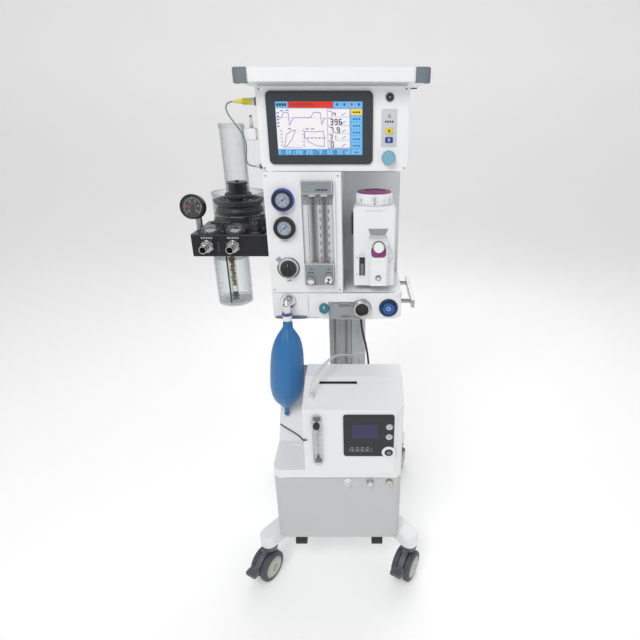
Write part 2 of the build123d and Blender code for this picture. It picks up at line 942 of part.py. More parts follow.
# ---------------------------------------------------------------- breathing circuit
block_top = bay_z + block_high
block_bottom = bay_z + block_low


def circuit_block():
    """Gas block of the breathing circuit, with its port bores and valve seats."""
    body = rounded(block_left, left, block_front, block_front + block_depth,
                   block_bottom, block_top, block_round, Axis.X)
    y = block_front
    for x in dome_xs:
        body -= post(x, y + dome_back, block_top - seat_depth, block_top + over, valve_seat_radius)
    body -= post(lever_x, y + lever_back, block_top - stem_hole, block_top + over,
                 lever_stem + run_fit)
    body -= post(apl_x, y + apl_back, block_top - stem_hole, block_top + over,
                 lever_stem + run_fit)
    for x in port_xs:
        body -= rod(x, block_bottom + port_z_up, y - over, y + bead_back, port_bore)
    return body


def breathing_ports():
    """Two push-on hose ports with retaining beads."""
    ports = []
    z = block_bottom + port_z_up
    for x in port_xs:
        port = rod(x, z, block_front - port_length, block_front, port_radius)
        port += rod(x, z, block_front - bead_back - bead_length, block_front - bead_back, port_bead)
        port += rod(x, z, block_front - port_flange, block_front, port_flange_radius)
        port -= rod(x, z, block_front - port_length - over, block_front + over, port_bore)
        ports.append(port)
    return group(*ports)


def valve_domes():
    """Clear domes over the two one-way valves."""
    domes = []
    y = block_front + dome_back
    ring_top = block_top + dome_ring_height
    for x in dome_xs:
        dome = post(x, y, block_top, ring_top, dome_ring_radius)
        dome += round_rim(post(x, y, ring_top, ring_top + dome_rise, dome_radius), Axis.Z, dome_round, -1)
        dome -= post(x, y, block_top - over, ring_top + dome_rise - dome_roof, dome_radius - dome_wall)
        domes.append(dome)
    return group(*domes)


def absorber_canister():
    """Clear canister for the carbon dioxide absorbent, with its centre tube."""
    y = block_front + canister_back
    z0 = block_bottom - canister_height
    can = round_rim(post(canister_x, y, z0, block_bottom, canister_radius), Axis.Z,
                    canister_round, 0)
    can -= post(canister_x, y, z0 + canister_wall, block_bottom + over, canister_radius - canister_wall)
    can += post(canister_x, y, z0 + over, block_bottom, canister_tube)
    return can - post(canister_x, y, z0 + canister_floor, block_bottom + over, canister_tube_bore)


def bellows_base():
    """Ring, plate, neck and flange under the bellows."""
    y = block_front + bellows_back
    base = round_rim(post(bellows_x, y, block_top, block_top + ring_height, ring_radius),
                     Axis.Z, ring_round, -1)
    floor = block_top + ring_height
    base += post(bellows_x, y, floor, floor + flange_up, neck_radius)
    base += post(bellows_x, y, floor + plate_up, floor + plate_up + plate_thick, plate_radius)
    base += post(bellows_x, y, floor + flange_up, floor + flange_up + flange_thick, flange_radius)
    return base


def bellows_cup():
    """Clear cup round the foot of the bellows."""
    y = block_front + bellows_back
    floor = block_top + ring_height
    cup = post(bellows_x, y, floor, floor + cup_height, cup_radius)
    return cup - post(bellows_x, y, floor - over, floor + cup_height + over, cup_radius - cup_wall)


fold_bottom = block_top + ring_height + flange_up + flange_thick
fold_top = fold_bottom + fold_count * fold_pitch


def bellows():
    """Folded rubber bellows, collapsed on its flange."""
    y = block_front + bellows_back
    stack = post(bellows_x, y, fold_bottom, fold_top, fold_inner)
    for fold in range(fold_count):
        z = fold_bottom + fold_pitch * fold
        stack += post(bellows_x, y, z + fold_half_gap, z + fold_pitch - fold_half_gap, fold_radius)
    return stack


def bellows_disc():
    """Disc on top of the bellows, which rises with each breath."""
    y = block_front + bellows_back
    return post(bellows_x, y, fold_top, fold_top + lid_thick, fold_radius + over)


def bellows_chamber():
    """Tall clear chamber round the bellows, closed by a lid."""
    y = block_front + bellows_back
    top = fold_bottom + chamber_height
    tube = post(bellows_x, y, fold_bottom, top, chamber_radius)
    return tube - post(bellows_x, y, fold_bottom - over, top - lid_thick, chamber_radius - chamber_wall)


def tilted(solid):
    """Lean an instrument built about the origin back, and set it at the manometer's place."""
    return Pos(airway_x, airway_y, airway_z) * Rot(-airway_tilt, 0, 0) * solid


def manometer():
    """Airway pressure gauge on its post."""
    half = airway_thick / 2
    case = rod(0, 0, -half, half, airway_radius)
    case -= rod(0, 0, -half - over, -half + gauge_recess, airway_radius - gauge_rim)
    case = tilted(case)
    y = block_front + gauge_post_back
    case += post(gauge_post_x, y - gauge_post_forward, block_top, airway_z - gauge_post_drop,
                 gauge_post_radius)
    return case + block(gauge_post_x - gauge_arm_half, gauge_post_x + gauge_arm_half,
                        airway_y + gauge_arm_margin, y - gauge_arm_margin,
                        airway_z - gauge_arm_low, airway_z - gauge_arm_high)


def manometer_needle():
    """Pointer of the airway pressure gauge, at rest on the left of its dial."""
    back = -airway_thick / 2 + gauge_recess - gap
    return tilted(Pos(0, back, 0) * Rot(0, 180, 0) * pointer(airway_radius * needle_share, airway_tail))


def circuit_lever():
    """Bag or ventilator lever: a T-handle on a turning stem."""
    y = block_front + lever_back
    z = block_top + lever_rise
    stem = post(lever_x, y, block_top - stem_reach, z, lever_stem)
    half = lever_length / 2
    return stem + bar(y, z, lever_x - half, lever_x + half, lever_bar / 2)


def apl_knob():
    """Pressure relief knob with its index notch."""
    y = block_front + apl_back
    cap = round_rim(post(apl_x, y, block_top + gap, block_top + apl_height, apl_radius), Axis.Z,
                    apl_edge, -1)
    half = mark_width / 2
    notch = block(apl_x - half, apl_x + half, y - apl_radius - over, y - apl_radius + over,
                  block_top + apl_height / 2, block_top + apl_height + over)
    return cap - notch + post(apl_x, y, block_top - stem_reach, block_top + gap, lever_stem)


def make_circuit():
    nodes["circuit_block"] = circuit_block()
    nodes["chrome_ports"] = group(breathing_ports(), front_ports())
    nodes["clear_domes"] = group(valve_domes(), bellows_cup(), bellows_chamber())
    nodes["absorber_canister"] = absorber_canister()
    nodes["bellows_base"] = bellows_base()
    nodes["bellows"] = bellows()
    nodes["bellows_disc"] = bellows_disc()
    nodes["manometer"] = manometer()
    nodes["manometer_needle"] = manometer_needle()
    nodes["circuit_lever"] = circuit_lever()
    nodes["apl_knob"] = apl_knob()


# ---------------------------------------------------------------- bag and sensor
def bag_arm():
    """Elbow from the front of the box down to the bag."""
    z = box_z + bag_port_up
    arm = rod(bag_x, z, bag_y, 0, arm_radius)
    arm += rod(bag_x, z, -arm_flange_thick, 0, arm_flange)
    arm += Pos(bag_x, bag_y, z) * Sphere(arm_radius)
    arm += post(bag_x, bag_y, neck_z, z, arm_radius)
    return arm + post(bag_x, bag_y, neck_z + arm_ring_low, neck_z + arm_ring_high,
                      arm_radius + arm_ring)


def breathing_bag():
    """Rubber bag, round about its neck, hanging from the arm with a slight lean to the left."""
    with BuildPart() as bag:
        with BuildSketch(Plane.XZ):
            with BuildLine():
                Polyline(*bag_profile, close=True)
            make_face()
        revolve(axis=Axis.Z)
    hung = Pos(bag_x, bag_y, neck_z) * Rot(0, bag_lean, 0) * bag.part
    return hung - post(bag_x, bag_y, neck_z, neck_z + collar_height, collar_radius)


def sensor_set():
    """Sensor plug in its socket, the sensor body on a holder and its gland, at the monitor's left."""
    z = monitor_z + sensor_plug_up
    plug = bar(sensor_y, z, left - plug_length, left, plug_radius)
    plug += Pos(left - plug_cone_out, sensor_y, z) * Rot(0, -90, 0) * Cone(*plug_cone)
    plug -= beyond(sensor_route, 0)
    low = monitor_z + sensor_up
    body = rounded(left - sensor_out, left - sensor_in, sensor_y - sensor_half, sensor_y + sensor_half,
                   low, low + sensor_height, sensor_round, Axis.Z)
    body += block(left - sensor_in - over, left, sensor_y - holder_half, sensor_y + holder_half,
                  low + holder_half, low + sensor_height - holder_half)
    middle = left - (sensor_out + sensor_in) / 2
    body += Pos(middle, sensor_y, low + boot_up) * Cone(*boot_cone)
    gland = bar(sensor_y, monitor_z + gland_up, left - gland_out, left + gland_in, gland_radius)
    return group(plug, body, gland - beyond(sensor_route, -1))


def make_bag():
    nodes["bag_arm"] = bag_arm()
    nodes["breathing_bag"] = breathing_bag()
    nodes["sensor_set"] = sensor_set()


# ---------------------------------------------------------------- concentrator
conc_left = -conc_width / 2
conc_right = conc_width / 2
conc_back = conc_front + conc_depth
cover_z = leg_top + skirt_height


def concentrator_base():
    """Lower casing, open at the top, with its four small casters."""
    skirt = block(conc_left, conc_right, conc_front, conc_back, leg_top, cover_z)
    skirt = fillet(skirt.edges().filter_by(Axis.Z), conc_round)
    cavity = block(conc_left + conc_wall, conc_right - conc_wall, conc_front + conc_wall,
                   conc_back - conc_wall, leg_top + conc_wall, cover_z + over)
    skirt -= fillet(cavity.edges().filter_by(Axis.Z), conc_round - conc_wall)
    for x in (-foot_x, foot_x):
        for y in (conc_front + foot_front, conc_back - foot_back):
            skirt += post(x, y, leg_top - foot_drop / 3, leg_top, foot_neck)
            skirt += bar(y, leg_top - foot_drop + foot_radius, x - foot_half, x + foot_half, foot_radius)
    return skirt


def cover_outline(inset):
    """Side outline of the upper casing: upright front, sloping top, falling back."""
    y0 = conc_front + inset
    y1 = conc_back - inset
    base = cover_z - (over if inset else 0)
    return ((y0, base), (y0, cover_z + cover_front_height - inset),
            (conc_front + ridge_front, cover_z + cover_height - inset),
            (conc_front + ridge_back, cover_z + cover_height - inset),
            (y1 - ridge_fall, cover_z + cover_back_height - inset), (y1, base))


def prism(points, x0, x1):
    """A solid with the given side outline (Y, Z), running across from x0 to x1."""
    face = make_face(Plane.YZ * Polyline(*points, close=True))
    return Pos(x0, 0, 0) * extrude(face, amount=x1 - x0, dir=(1, 0, 0))


def niche(grow):
    """Humidifier niche at the left: open to the left, the front and the top."""
    z0 = cover_z + niche_floor - grow
    points = ((conc_front - clear_of, z0), (conc_front + niche_depth + grow, z0),
              (conc_front + niche_back + grow, cover_z + niche_back_height - grow),
              (conc_front + niche_back + grow, cover_z + cover_height + clear_of),
              (conc_front - clear_of, cover_z + cover_height + clear_of))
    return prism(points, conc_left - clear_of, niche_right + grow)


def concentrator_cover():
    """Upper casing with its sloping top, niche, handle slot and the holes for what it carries."""
    outer = prism(cover_outline(0), conc_left, conc_right)
    fronts = outer.edges().filter_by(Axis.Z).sort_by(Axis.Y)[:2]
    outer = fillet(fronts, conc_round)
    outer -= niche(0)
    cavity = prism(cover_outline(conc_wall), conc_left + conc_wall, conc_right - conc_wall)
    fronts = cavity.edges().filter_by(Axis.Z).sort_by(Axis.Y)[:2]
    cavity = fillet(fronts, conc_round - conc_wall)
    outer -= cavity - niche(conc_wall)
    slope_y = conc_front + ridge_front * slot_share
    half = handle_width / 2
    outer -= block(handle_x - half, handle_x + half, slope_y - handle_half_depth,
                   slope_y + handle_half_depth, cover_z + cover_height - handle_deep,
                   cover_z + cover_height + over)
    x, y, z = hose_route[0]
    outer -= post(x, y, z - barb_low, z, barb_radius)
    for up in button_ups:
        outer -= shaft_hole(button_x, cover_z + up, conc_front)
    outer -= shaft_hole(button_x, cover_z + switch_up, conc_front)
    outer -= shaft_hole(meter_x, cover_z + meter_knob_up, conc_front)
    return outer


def concentrator_panel():
    """Display panel with round seats for its buttons and switch."""
    y = conc_front
    panel = rounded(panel_left, panel_right, y - panel_thick, y, cover_z + panel_low,
                    cover_z + panel_high, panel_round, Axis.Y)
    for up in button_ups:
        panel -= rod(button_x, cover_z + up, y - panel_thick - over, y + over, button_radius + gap)
    return panel - rod(button_x, cover_z + switch_up, y - panel_thick - over, y + over,
                       switch_radius + gap)


def concentrator_meter():
    """Clear block of the concentrator's own flowmeter."""
    y = conc_front
    half = meter_width / 2
    meter = rounded(meter_x - half, meter_x + half, y - meter_thick, y, cover_z + meter_low,
                    cover_z + meter_high, half - over, Axis.Y)
    meter -= post(meter_x, y - meter_thick / 2, cover_z + meter_low + meter_tube_low,
                  cover_z + meter_high - meter_tube_high, meter_tube)
    return meter - rod(meter_x, cover_z + meter_knob_up, y - meter_thick - over, y + over,
                       shaft_radius + run_fit)


def push_cap(up, radius, proud):
    """A round push cap on a guide stem."""
    y = conc_front
    z = cover_z + up
    cap = rod(button_x, z, y - panel_thick - proud, y - cap_inset, radius)
    cap = round_rim(cap, Axis.Y, cap_edge)
    return cap + rod(button_x, z, y - cap_inset, y + shaft_reach, shaft_radius)


def concentrator_core():
    """Compressor and two sieve beds, standing on the casing floor."""
    floor = leg_top + conc_wall
    middle = (conc_front + conc_back) / 2
    compressor = block(-compressor_half, compressor_half, conc_front + compressor_front,
                       middle + compressor_back, floor, floor + compressor_height)
    beds = [post(x, middle + bed_back, floor, floor + bed_height, bed_radius) for x in (-bed_x, bed_x)]
    return group(compressor, *beds)


def cord_fittings():
    """Hose barb on the concentrator, hose inlet on the duct, lead gland, lead plug, front fittings."""
    x, y, z = hose_route[0]
    barb = post(x, y, z - barb_low, z + over, barb_radius) - beyond(hose_route, 0)
    x, y, z = hose_route[-1]
    elbow = post(x, y, z - elbow_drop, z + over, elbow_radius) - beyond(hose_route, -1)
    elbow += rod(x, z - elbow_branch, y, column_y - duct_forward, elbow_radius)
    x, y, z = lead_route[0]
    gland = post(x, y, z - over, box_z, lead_gland_radius) - beyond(lead_route, 0)
    x, y, z = lead_route[-1]
    plug = block(x - lead_plug_half, x + lead_plug_half, conc_back, y + lead_plug_back,
                 z - lead_plug_length, z + over)
    plug -= beyond(lead_route, -1)
    fronts = [rod(fx, fitting_z, conc_front - fitting_length, conc_front, fitting_radius)
              for fx in fitting_xs]
    return group(barb, elbow, gland, plug, *fronts)


def make_concentrator():
    nodes["concentrator_base"] = concentrator_base()
    nodes["concentrator_cover"] = concentrator_cover()
    nodes["concentrator_panel"] = concentrator_panel()
    nodes["concentrator_meter"] = concentrator_meter()
    nodes["meter_knob"] = knob(meter_x, cover_z + meter_knob_up, conc_front - meter_thick,
                               meter_knob_proud, meter_knob_radius)
    nodes["power_button"] = push_cap(switch_up, switch_radius, switch_proud)
    nodes["button_upper"] = push_cap(button_ups[0], button_radius, button_proud)
    nodes["button_lower"] = push_cap(button_ups[1], button_radius, button_proud)
    nodes["inner_machinery"] = group(ventilator_core(), concentrator_core())
    nodes["cord_fittings"] = cord_fittings()


# ---------------------------------------------------------------- cords
def cord(name, route, radius):
    """A tube of straight runs joined by the largest tangent arcs its runs allow."""
    points = [Vector(*p) for p in route]
    radii = []
    for before, here, after in zip(points, points[1:], points[2:]):
        into, out = here - before, after - here
        turn = math.radians(into.get_angle(out))
        radii.append(arc_share * min(into.length, out.length) / math.tan(turn / 2))
    path = FilletPolyline(*points, radius=radii)
    section = Plane(origin=path @ 0, z_dir=path % 0) * Circle(radius)
    tube = sweep(section, path=path)
    ratio = tube.volume / (math.pi * radius ** 2 * path.length)
    print(name, "length", round(path.length, 1), "volume ratio", round(ratio, 4),
          "radii", [round(r, 1) for r in radii])
    nodes[name] = tube


cords = (("oxygen_hose", hose_route, hose_radius),
         ("power_lead", lead_route, lead_radius),
         ("sensor_lead", sensor_route, sensor_lead_radius))
cord_names = tuple(name for name, route, radius in cords)


def make_cords():
    for name, route, radius in cords:
        cord(name, route, radius)


def write_parts():
    """Move the origin to the middle of the footprint and write one file for each node."""
    boxes = [shape.bounding_box() for name, shape in nodes.items() if name not in cord_names]
    middle_x = (min(b.min.X for b in boxes) + max(b.max.X for b in boxes)) / 2
    middle_y = (min(b.min.Y for b in boxes) + max(b.max.Y for b in boxes)) / 2
    shift = Pos(-middle_x, -middle_y, 0)
    print("footprint middle", round(middle_x, 3), round(middle_y, 3))
    os.makedirs("parts", exist_ok=True)
    for name, shape in nodes.items():
        export_step(shift * shape, "parts/" + name + ".step")
    print(len(nodes), "nodes")


make_base()
make_cabinet()
make_monitor()
make_panel()
make_vaporizer()
make_controls()
make_circuit()
make_bag()
make_concentrator()
make_cords()
write_parts()
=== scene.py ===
"""Looks of the anesthesia machine: finishes, printed scales, soft pieces and small fittings.

Places are given in the machine's own millimetres (X across from the cabinet's middle, Y back
from the cabinet's front, Z up from the floor), and row() turns them into the frame's metres.
"""
import math
import bmesh
import bpy
import numpy as np
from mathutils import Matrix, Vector


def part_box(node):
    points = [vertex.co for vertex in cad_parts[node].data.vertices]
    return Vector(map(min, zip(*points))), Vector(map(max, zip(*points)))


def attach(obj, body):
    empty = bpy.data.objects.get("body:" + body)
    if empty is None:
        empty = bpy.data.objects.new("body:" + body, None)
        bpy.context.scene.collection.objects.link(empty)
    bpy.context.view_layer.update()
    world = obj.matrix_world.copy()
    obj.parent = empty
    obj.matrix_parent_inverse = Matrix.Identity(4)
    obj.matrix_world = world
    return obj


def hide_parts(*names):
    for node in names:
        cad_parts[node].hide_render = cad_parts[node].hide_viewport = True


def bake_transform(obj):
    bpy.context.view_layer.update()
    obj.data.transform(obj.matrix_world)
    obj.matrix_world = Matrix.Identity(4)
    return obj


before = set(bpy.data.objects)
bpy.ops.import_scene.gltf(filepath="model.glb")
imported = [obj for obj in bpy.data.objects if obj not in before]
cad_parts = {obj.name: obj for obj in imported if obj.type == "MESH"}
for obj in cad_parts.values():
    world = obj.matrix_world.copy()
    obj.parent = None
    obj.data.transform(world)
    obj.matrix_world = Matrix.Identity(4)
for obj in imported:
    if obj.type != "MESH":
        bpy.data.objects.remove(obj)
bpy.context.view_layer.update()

MM = 0.001
TURN = 2 * math.pi
COLUMN_HALF = 40.0
COLUMN_BACK = 250.0
column_low, column_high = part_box("column")
ZERO = np.array([column_low[0] + COLUMN_HALF * MM, column_high[1] - COLUMN_BACK * MM, 0.0])

BOX_Z, BAY_Z, MONITOR_Z, COVER_Z = 848.0, 936.0, 1287.0, 416.0
LEFT, RIGHT = -197.0, 197.0
BLOCK_TOP, BLOCK_FRONT = 1111.0, 12.0
CONC_FRONT, CONC_LEFT, CONC_RIGHT = -217.0, -196.0, 196.0
FORWARD = (0, -1, 0)
UP = (0, 0, 1)


def row(points):
    """Machine millimetres to frame metres."""
    return np.asarray(points, float) * MM + ZERO


def camera():
    """A wide lens at eye height in front of the screen, looking 24 degrees down."""
    data = bpy.data.cameras.new("camera")
    data.sensor_width = 36.0
    data.lens = 26.2
    data.shift_x = -0.064
    view = bpy.data.objects.new("camera", data)
    bpy.context.scene.collection.objects.link(view)
    view.location = row((72, -1318, 1433))
    view.rotation_euler = (math.radians(90 - 24), 0, 0)
    bpy.context.scene.camera = view


# ------------------------------------------------------------------ shader maths
class Value:
    """A material's socket, with the arithmetic that adds Math nodes."""

    def __init__(self, finish, socket):
        self.finish = finish
        self.socket = socket

    def maths(self, operation, first, second):
        return self.finish.node("ShaderNodeMath", {"operation": operation}, {0: first, 1: second})

    def __add__(self, other):
        return self.maths("ADD", self, other)

    def __mul__(self, other):
        return self.maths("MULTIPLY", self, other)

    def __sub__(self, other):
        return self.maths("SUBTRACT", self, other)

    def __rsub__(self, other):
        return self.maths("SUBTRACT", other, self)

    def __gt__(self, other):
        return self.maths("GREATER_THAN", self, other)

    __radd__ = __add__
    __rmul__ = __mul__


class Finish:
    """One material being built."""

    def __init__(self, name):
        self.material = bpy.data.materials.new(name)
        self.material.use_nodes = True
        self.tree = self.material.node_tree
        self.shader = self.tree.nodes["Principled BSDF"]
        self.output = self.tree.nodes["Material Output"]

    def node(self, kind, settings, sockets, out=0):
        made = self.tree.nodes.new(kind)
        for key, value in settings.items():
            setattr(made, key, value)
        for key, value in sockets.items():
            self.feed(made.inputs[key], value)
        return Value(self, made.outputs[out])

    def feed(self, socket, value):
        if isinstance(value, Value):
            self.tree.links.new(value.socket, socket)
        else:
            socket.default_value = value

    def set(self, **values):
        for key, value in values.items():
            self.feed(self.shader.inputs[key.replace("_", " ")], value)

    def place(self):
        return self.node("ShaderNodeTexCoord", {}, {}, "Object")

    def axis(self, letter):
        return self.node("ShaderNodeSeparateXYZ", {}, {0: self.place()}, letter)

    def noise(self, scale, detail=2.0, stretch=(1, 1, 1)):
        spot = self.node("ShaderNodeMapping", {}, {"Vector": self.place(), "Scale": stretch})
        return self.node("ShaderNodeTexNoise", {}, {"Vector": spot, "Scale": scale, "Detail": detail})

    def blend(self, factor, first, second):
        return self.node("ShaderNodeMix", {"data_type": "RGBA"}, {0: factor, 6: first, 7: second}, 2)

    def bump(self, height, strength, distance):
        edge = self.node("ShaderNodeBevel", {"samples": 4}, {"Radius": self.edge}) if self.edge else None
        sockets = {"Height": height, "Strength": strength, "Distance": distance}
        if edge:
            sockets["Normal"] = edge
        return self.node("ShaderNodeBump", {}, sockets)

    edge = 0.0


def rgb(r, g, b):
    """An opaque colour from its three linear parts."""
    return (r, g, b, 1.0)


def shade(color, amount):
    """A colour made darker or lighter, never past full brightness."""
    return tuple(min(1.0, c * amount) for c in color[:3]) + (1.0,)


finishes = {}


def finish(name, color, rough, metal=0.0, mottle=0.05, grain=900.0, relief=0.15, edge=0.0012,
           stretch=(1, 1, 1), coat=0.0, sheen=0.0):
    """A moulded, painted or drawn surface: slow tone drift, scuffs in the gloss and a fine grain."""
    made = Finish(name)
    made.edge = edge
    drift = made.noise(5.0, 5.0)
    scuff = made.noise(38.0, 6.0)
    texture = made.noise(grain, 2.0, stretch)
    tone = drift * 0.6 + texture * 0.4
    made.set(Base_Color=made.blend(tone, shade(color, 1 - mottle), shade(color, 1 + mottle)),
             Roughness=rough + (scuff - 0.5) * 0.22, Metallic=metal, Coat_Weight=coat,
             Normal=made.bump(texture, relief, 0.0004))
    made.shader.inputs["Sheen Weight"].default_value = sheen
    finishes[name] = made.material
    return made


def clear_finish(name, tint, body=0.03, rim=0.42, rough=0.05):
    """Clear plastic: see-through face on, and a greyer, glossier wall at its edges."""
    made = Finish(name)
    facing = made.node("ShaderNodeLayerWeight", {}, {"Blend": 0.35}, "Facing")
    haze = made.noise(60.0, 4.0)
    made.set(Base_Color=made.blend(facing, tint, shade(tint, 0.45)), Roughness=rough + haze * 0.06)
    through = made.node("ShaderNodeBsdfTransparent", {}, {"Color": rgb(0.97, 0.98, 0.98)})
    solid = Value(made, made.shader.outputs[0])
    mixed = made.node("ShaderNodeMixShader", {}, {0: body + facing * rim, 1: through, 2: solid})
    made.tree.links.new(mixed.socket, made.output.inputs["Surface"])
    finishes[name] = made.material


def print_finish(name, glow=0.0):
    """Ink or a lit screen: the colour comes from the piece's own colour attribute."""
    made = Finish(name)
    ink = made.node("ShaderNodeAttribute", {"attribute_name": "ink"}, {}, "Color")
    made.set(Base_Color=ink, Roughness=0.35 + made.noise(300.0) * 0.1)
    if glow:
        made.set(Emission_Color=ink)
        made.shader.inputs["Emission Strength"].default_value = glow
    finishes[name] = made.material


def split_finish(name, letter, at, below, above, rough=0.45):
    """Two colours of plastic that meet at a plane across the node, each with a fine grain."""
    made = Finish(name)
    made.edge = 0.001
    side = made.axis(letter) > at
    texture = made.noise(900.0)
    tone = made.blend(made.noise(5.0, 4.0), rgb(0.93, 0.93, 0.93), rgb(1, 1, 1))
    paint = made.blend(side, below, above)
    mixed = made.node("ShaderNodeMix", {"data_type": "RGBA", "blend_type": "MULTIPLY"},
                      {0: 1.0, 6: paint, 7: tone}, 2)
    made.set(Base_Color=mixed, Roughness=rough + texture * 0.08, Normal=made.bump(texture, 0.12, 0.0004))
    finishes[name] = made.material


WHITE = rgb(0.86, 0.875, 0.89)


def make_finishes():
    """Every paint, plastic, metal, rubber, glass and ink on the machine."""
    finish("white_paint", WHITE, 0.42, mottle=0.02, grain=700, relief=0.2, coat=0.15)
    finish("white_plastic", rgb(0.87, 0.88, 0.89), 0.40, mottle=0.02, grain=1200)
    finish("grey_plastic", rgb(0.60, 0.61, 0.62), 0.5, mottle=0.03, grain=1100, relief=0.3)
    finish("pale_grey", rgb(0.66, 0.68, 0.70), 0.45, mottle=0.03)
    finish("pad_grey", rgb(0.17, 0.20, 0.23), 0.55, mottle=0.06, relief=0.3)
    finish("bezel_grey", rgb(0.040, 0.047, 0.055), 0.38, mottle=0.08)
    finish("dark_plastic", rgb(0.02, 0.02, 0.022), 0.38, mottle=0.15)
    finish("black_metal", rgb(0.018, 0.018, 0.021), 0.36, metal=0.3, mottle=0.2, grain=1500)
    finish("black_rubber", rgb(0.02, 0.02, 0.02), 0.6, mottle=0.2, grain=500, relief=0.3)
    finish("aluminium", rgb(0.55, 0.57, 0.56), 0.34, metal=0.85, mottle=0.05, stretch=(1, 1, 0.02))
    finish("steel", rgb(0.46, 0.46, 0.45), 0.30, metal=1.0, mottle=0.05, stretch=(0.05, 1, 1))
    finish("chrome", rgb(0.72, 0.72, 0.73), 0.14, metal=1.0, mottle=0.03, relief=0.05)
    finish("nickel", rgb(0.50, 0.48, 0.44), 0.26, metal=1.0, mottle=0.05)
    finish("brass", rgb(0.42, 0.34, 0.20), 0.32, metal=1.0)
    finish("blue_plastic", rgb(0.004, 0.085, 0.32), 0.35, coat=0.3)
    finish("ring_blue", rgb(0.02, 0.04, 0.30), 0.35)
    finish("navy_plastic", rgb(0.005, 0.025, 0.09), 0.35)
    finish("teal_plastic", rgb(0.03, 0.20, 0.26), 0.4)
    finish("light_blue_plastic", rgb(0.20, 0.45, 0.60), 0.32, mottle=0.04, coat=0.3)
    finish("yellow_plastic", rgb(0.74, 0.64, 0.05), 0.4)
    finish("purple_plastic", rgb(0.27, 0.03, 0.20), 0.38, coat=0.2)
    finish("red_paint", rgb(0.42, 0.02, 0.02), 0.35)
    finish("green_paint", rgb(0.03, 0.30, 0.12), 0.4)
    finish("caster_plastic", rgb(0.12, 0.14, 0.16), 0.5, grain=1200)
    finish("tread", rgb(0.075, 0.085, 0.10), 0.6, relief=0.3)
    finish("hub_cream", rgb(0.50, 0.53, 0.47), 0.4)
    finish("granules", rgb(0.26, 0.19, 0.08), 0.8, mottle=0.5, grain=260, relief=1.0)
    finish("gauge_white", rgb(0.85, 0.86, 0.86), 0.4, relief=0.02)
    finish("lcd_glass", rgb(0.012, 0.014, 0.02), 0.12, relief=0.0, coat=0.5)
    finish("bag_rubber", rgb(0.022, 0.165, 0.42), 0.42, mottle=0.12, grain=420, relief=0.25, sheen=0.15)
    clear_finish("clear", rgb(0.50, 0.52, 0.55), 0.01, 0.45)
    clear_finish("lens", rgb(0.90, 0.92, 0.93), 0.03, 0.35, 0.03)
    clear_finish("hose_clear", rgb(0.82, 0.86, 0.88), 0.45, 0.4, 0.15)
    print_finish("ink")
    print_finish("screen_page", 0.14)
    edge_x = float(row((39.9, 0, 0))[0])
    split_finish("column_and_duct", "X", edge_x, rgb(0.44, 0.46, 0.45), rgb(0.60, 0.62, 0.61))
    split_finish("casing_and_feet", "Z", 167.5 * MM, rgb(0.02, 0.02, 0.02), rgb(0.60, 0.61, 0.62), 0.5)
    split_finish("ring_and_plate", "Z", 1128 * MM, rgb(0.10, 0.10, 0.12), rgb(0.02, 0.02, 0.022), 0.3)


# ------------------------------------------------------------------ surfaces
def finish_mesh(name, mesh, material, body, angle=35.0):
    """Close seams and poles, turn faces outwards, and put the piece on its body."""
    work = bmesh.new()
    work.from_mesh(mesh)
    bmesh.ops.remove_doubles(work, verts=work.verts, dist=2e-6)
    bmesh.ops.dissolve_degenerate(work, dist=1e-7, edges=work.edges)
    bmesh.ops.recalc_face_normals(work, faces=work.faces)
    work.to_mesh(mesh)
    work.free()
    mesh.shade_smooth()
    mesh.set_sharp_from_angle(angle=math.radians(angle))
    mesh.materials.append(finishes[material])
    piece = bpy.data.objects.new(name, mesh)
    bpy.context.scene.collection.objects.link(piece)
    if body:
        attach(piece, body)
    return piece


def grid(name, points, material, body="frame", wrap=False, angle=35.0):
    """A surface through a grid of points (rows by columns), closed round its columns if wrap."""
    rows, cols = points.shape[:2]
    across = np.arange(cols if wrap else cols - 1)
    down = np.arange(rows - 1)[:, None] * cols
    after = (across + 1) % cols
    quads = np.stack([down + across, down + after, down + cols + after, down + cols + across], -1)
    mesh = bpy.data.meshes.new(name)
    mesh.from_pydata(points.reshape(-1, 3), [], quads.reshape(-1, 4).tolist())
    return finish_mesh(name, mesh, material, body, angle)


def turned_frame(axis):
    """Three unit vectors, the last along the axis."""
    third = Vector(axis).normalized()
    first = third.orthogonal().normalized() if abs(third.z) > 0.9 else Vector((0, 0, 1)).cross(third).normalized()
    second = third.cross(first)
    return np.array([first, second, third])


def lathe(name, profile, origin, axis, material, body="frame", flutes=0, depth=0.0, count=48):
    """A profile (radius, height) turned about an axis; flutes waves of a depth run round the rim.

    The radius at an angle t is r * (1 - depth * cos(flutes * t) ** 2 * w), with w growing to 1
    over the outer tenth of the profile.
    """
    profile = np.asarray(profile, float)
    if flutes:
        count = max(count, flutes * 6)
    t = np.linspace(0, TURN, count, endpoint=False)
    r = profile[:, 0][:, None]
    share = np.clip((r / profile[:, 0].max() - 0.86) / 0.1, 0, 1)
    r = r * (1 - depth * np.cos(flutes * t / 2) ** 2 * share)
    local = np.stack([r * np.cos(t), r * np.sin(t), np.broadcast_to(profile[:, 1][:, None], r.shape)], -1)
    points = row(local @ turned_frame(axis) + np.asarray(origin, float))
    return grid(name, points, material, body, wrap=True)


def rounded_profile(radius, height, edge=1.5, base=0.0):
    """A disc's half outline with a rounded top edge."""
    t = np.linspace(0, math.pi / 2, 5)
    corner = np.stack([radius - edge + edge * np.cos(t), height - edge + edge * np.sin(t)], -1)
    return np.vstack([[[0, base], [radius, base]], corner, [[0, height]]])


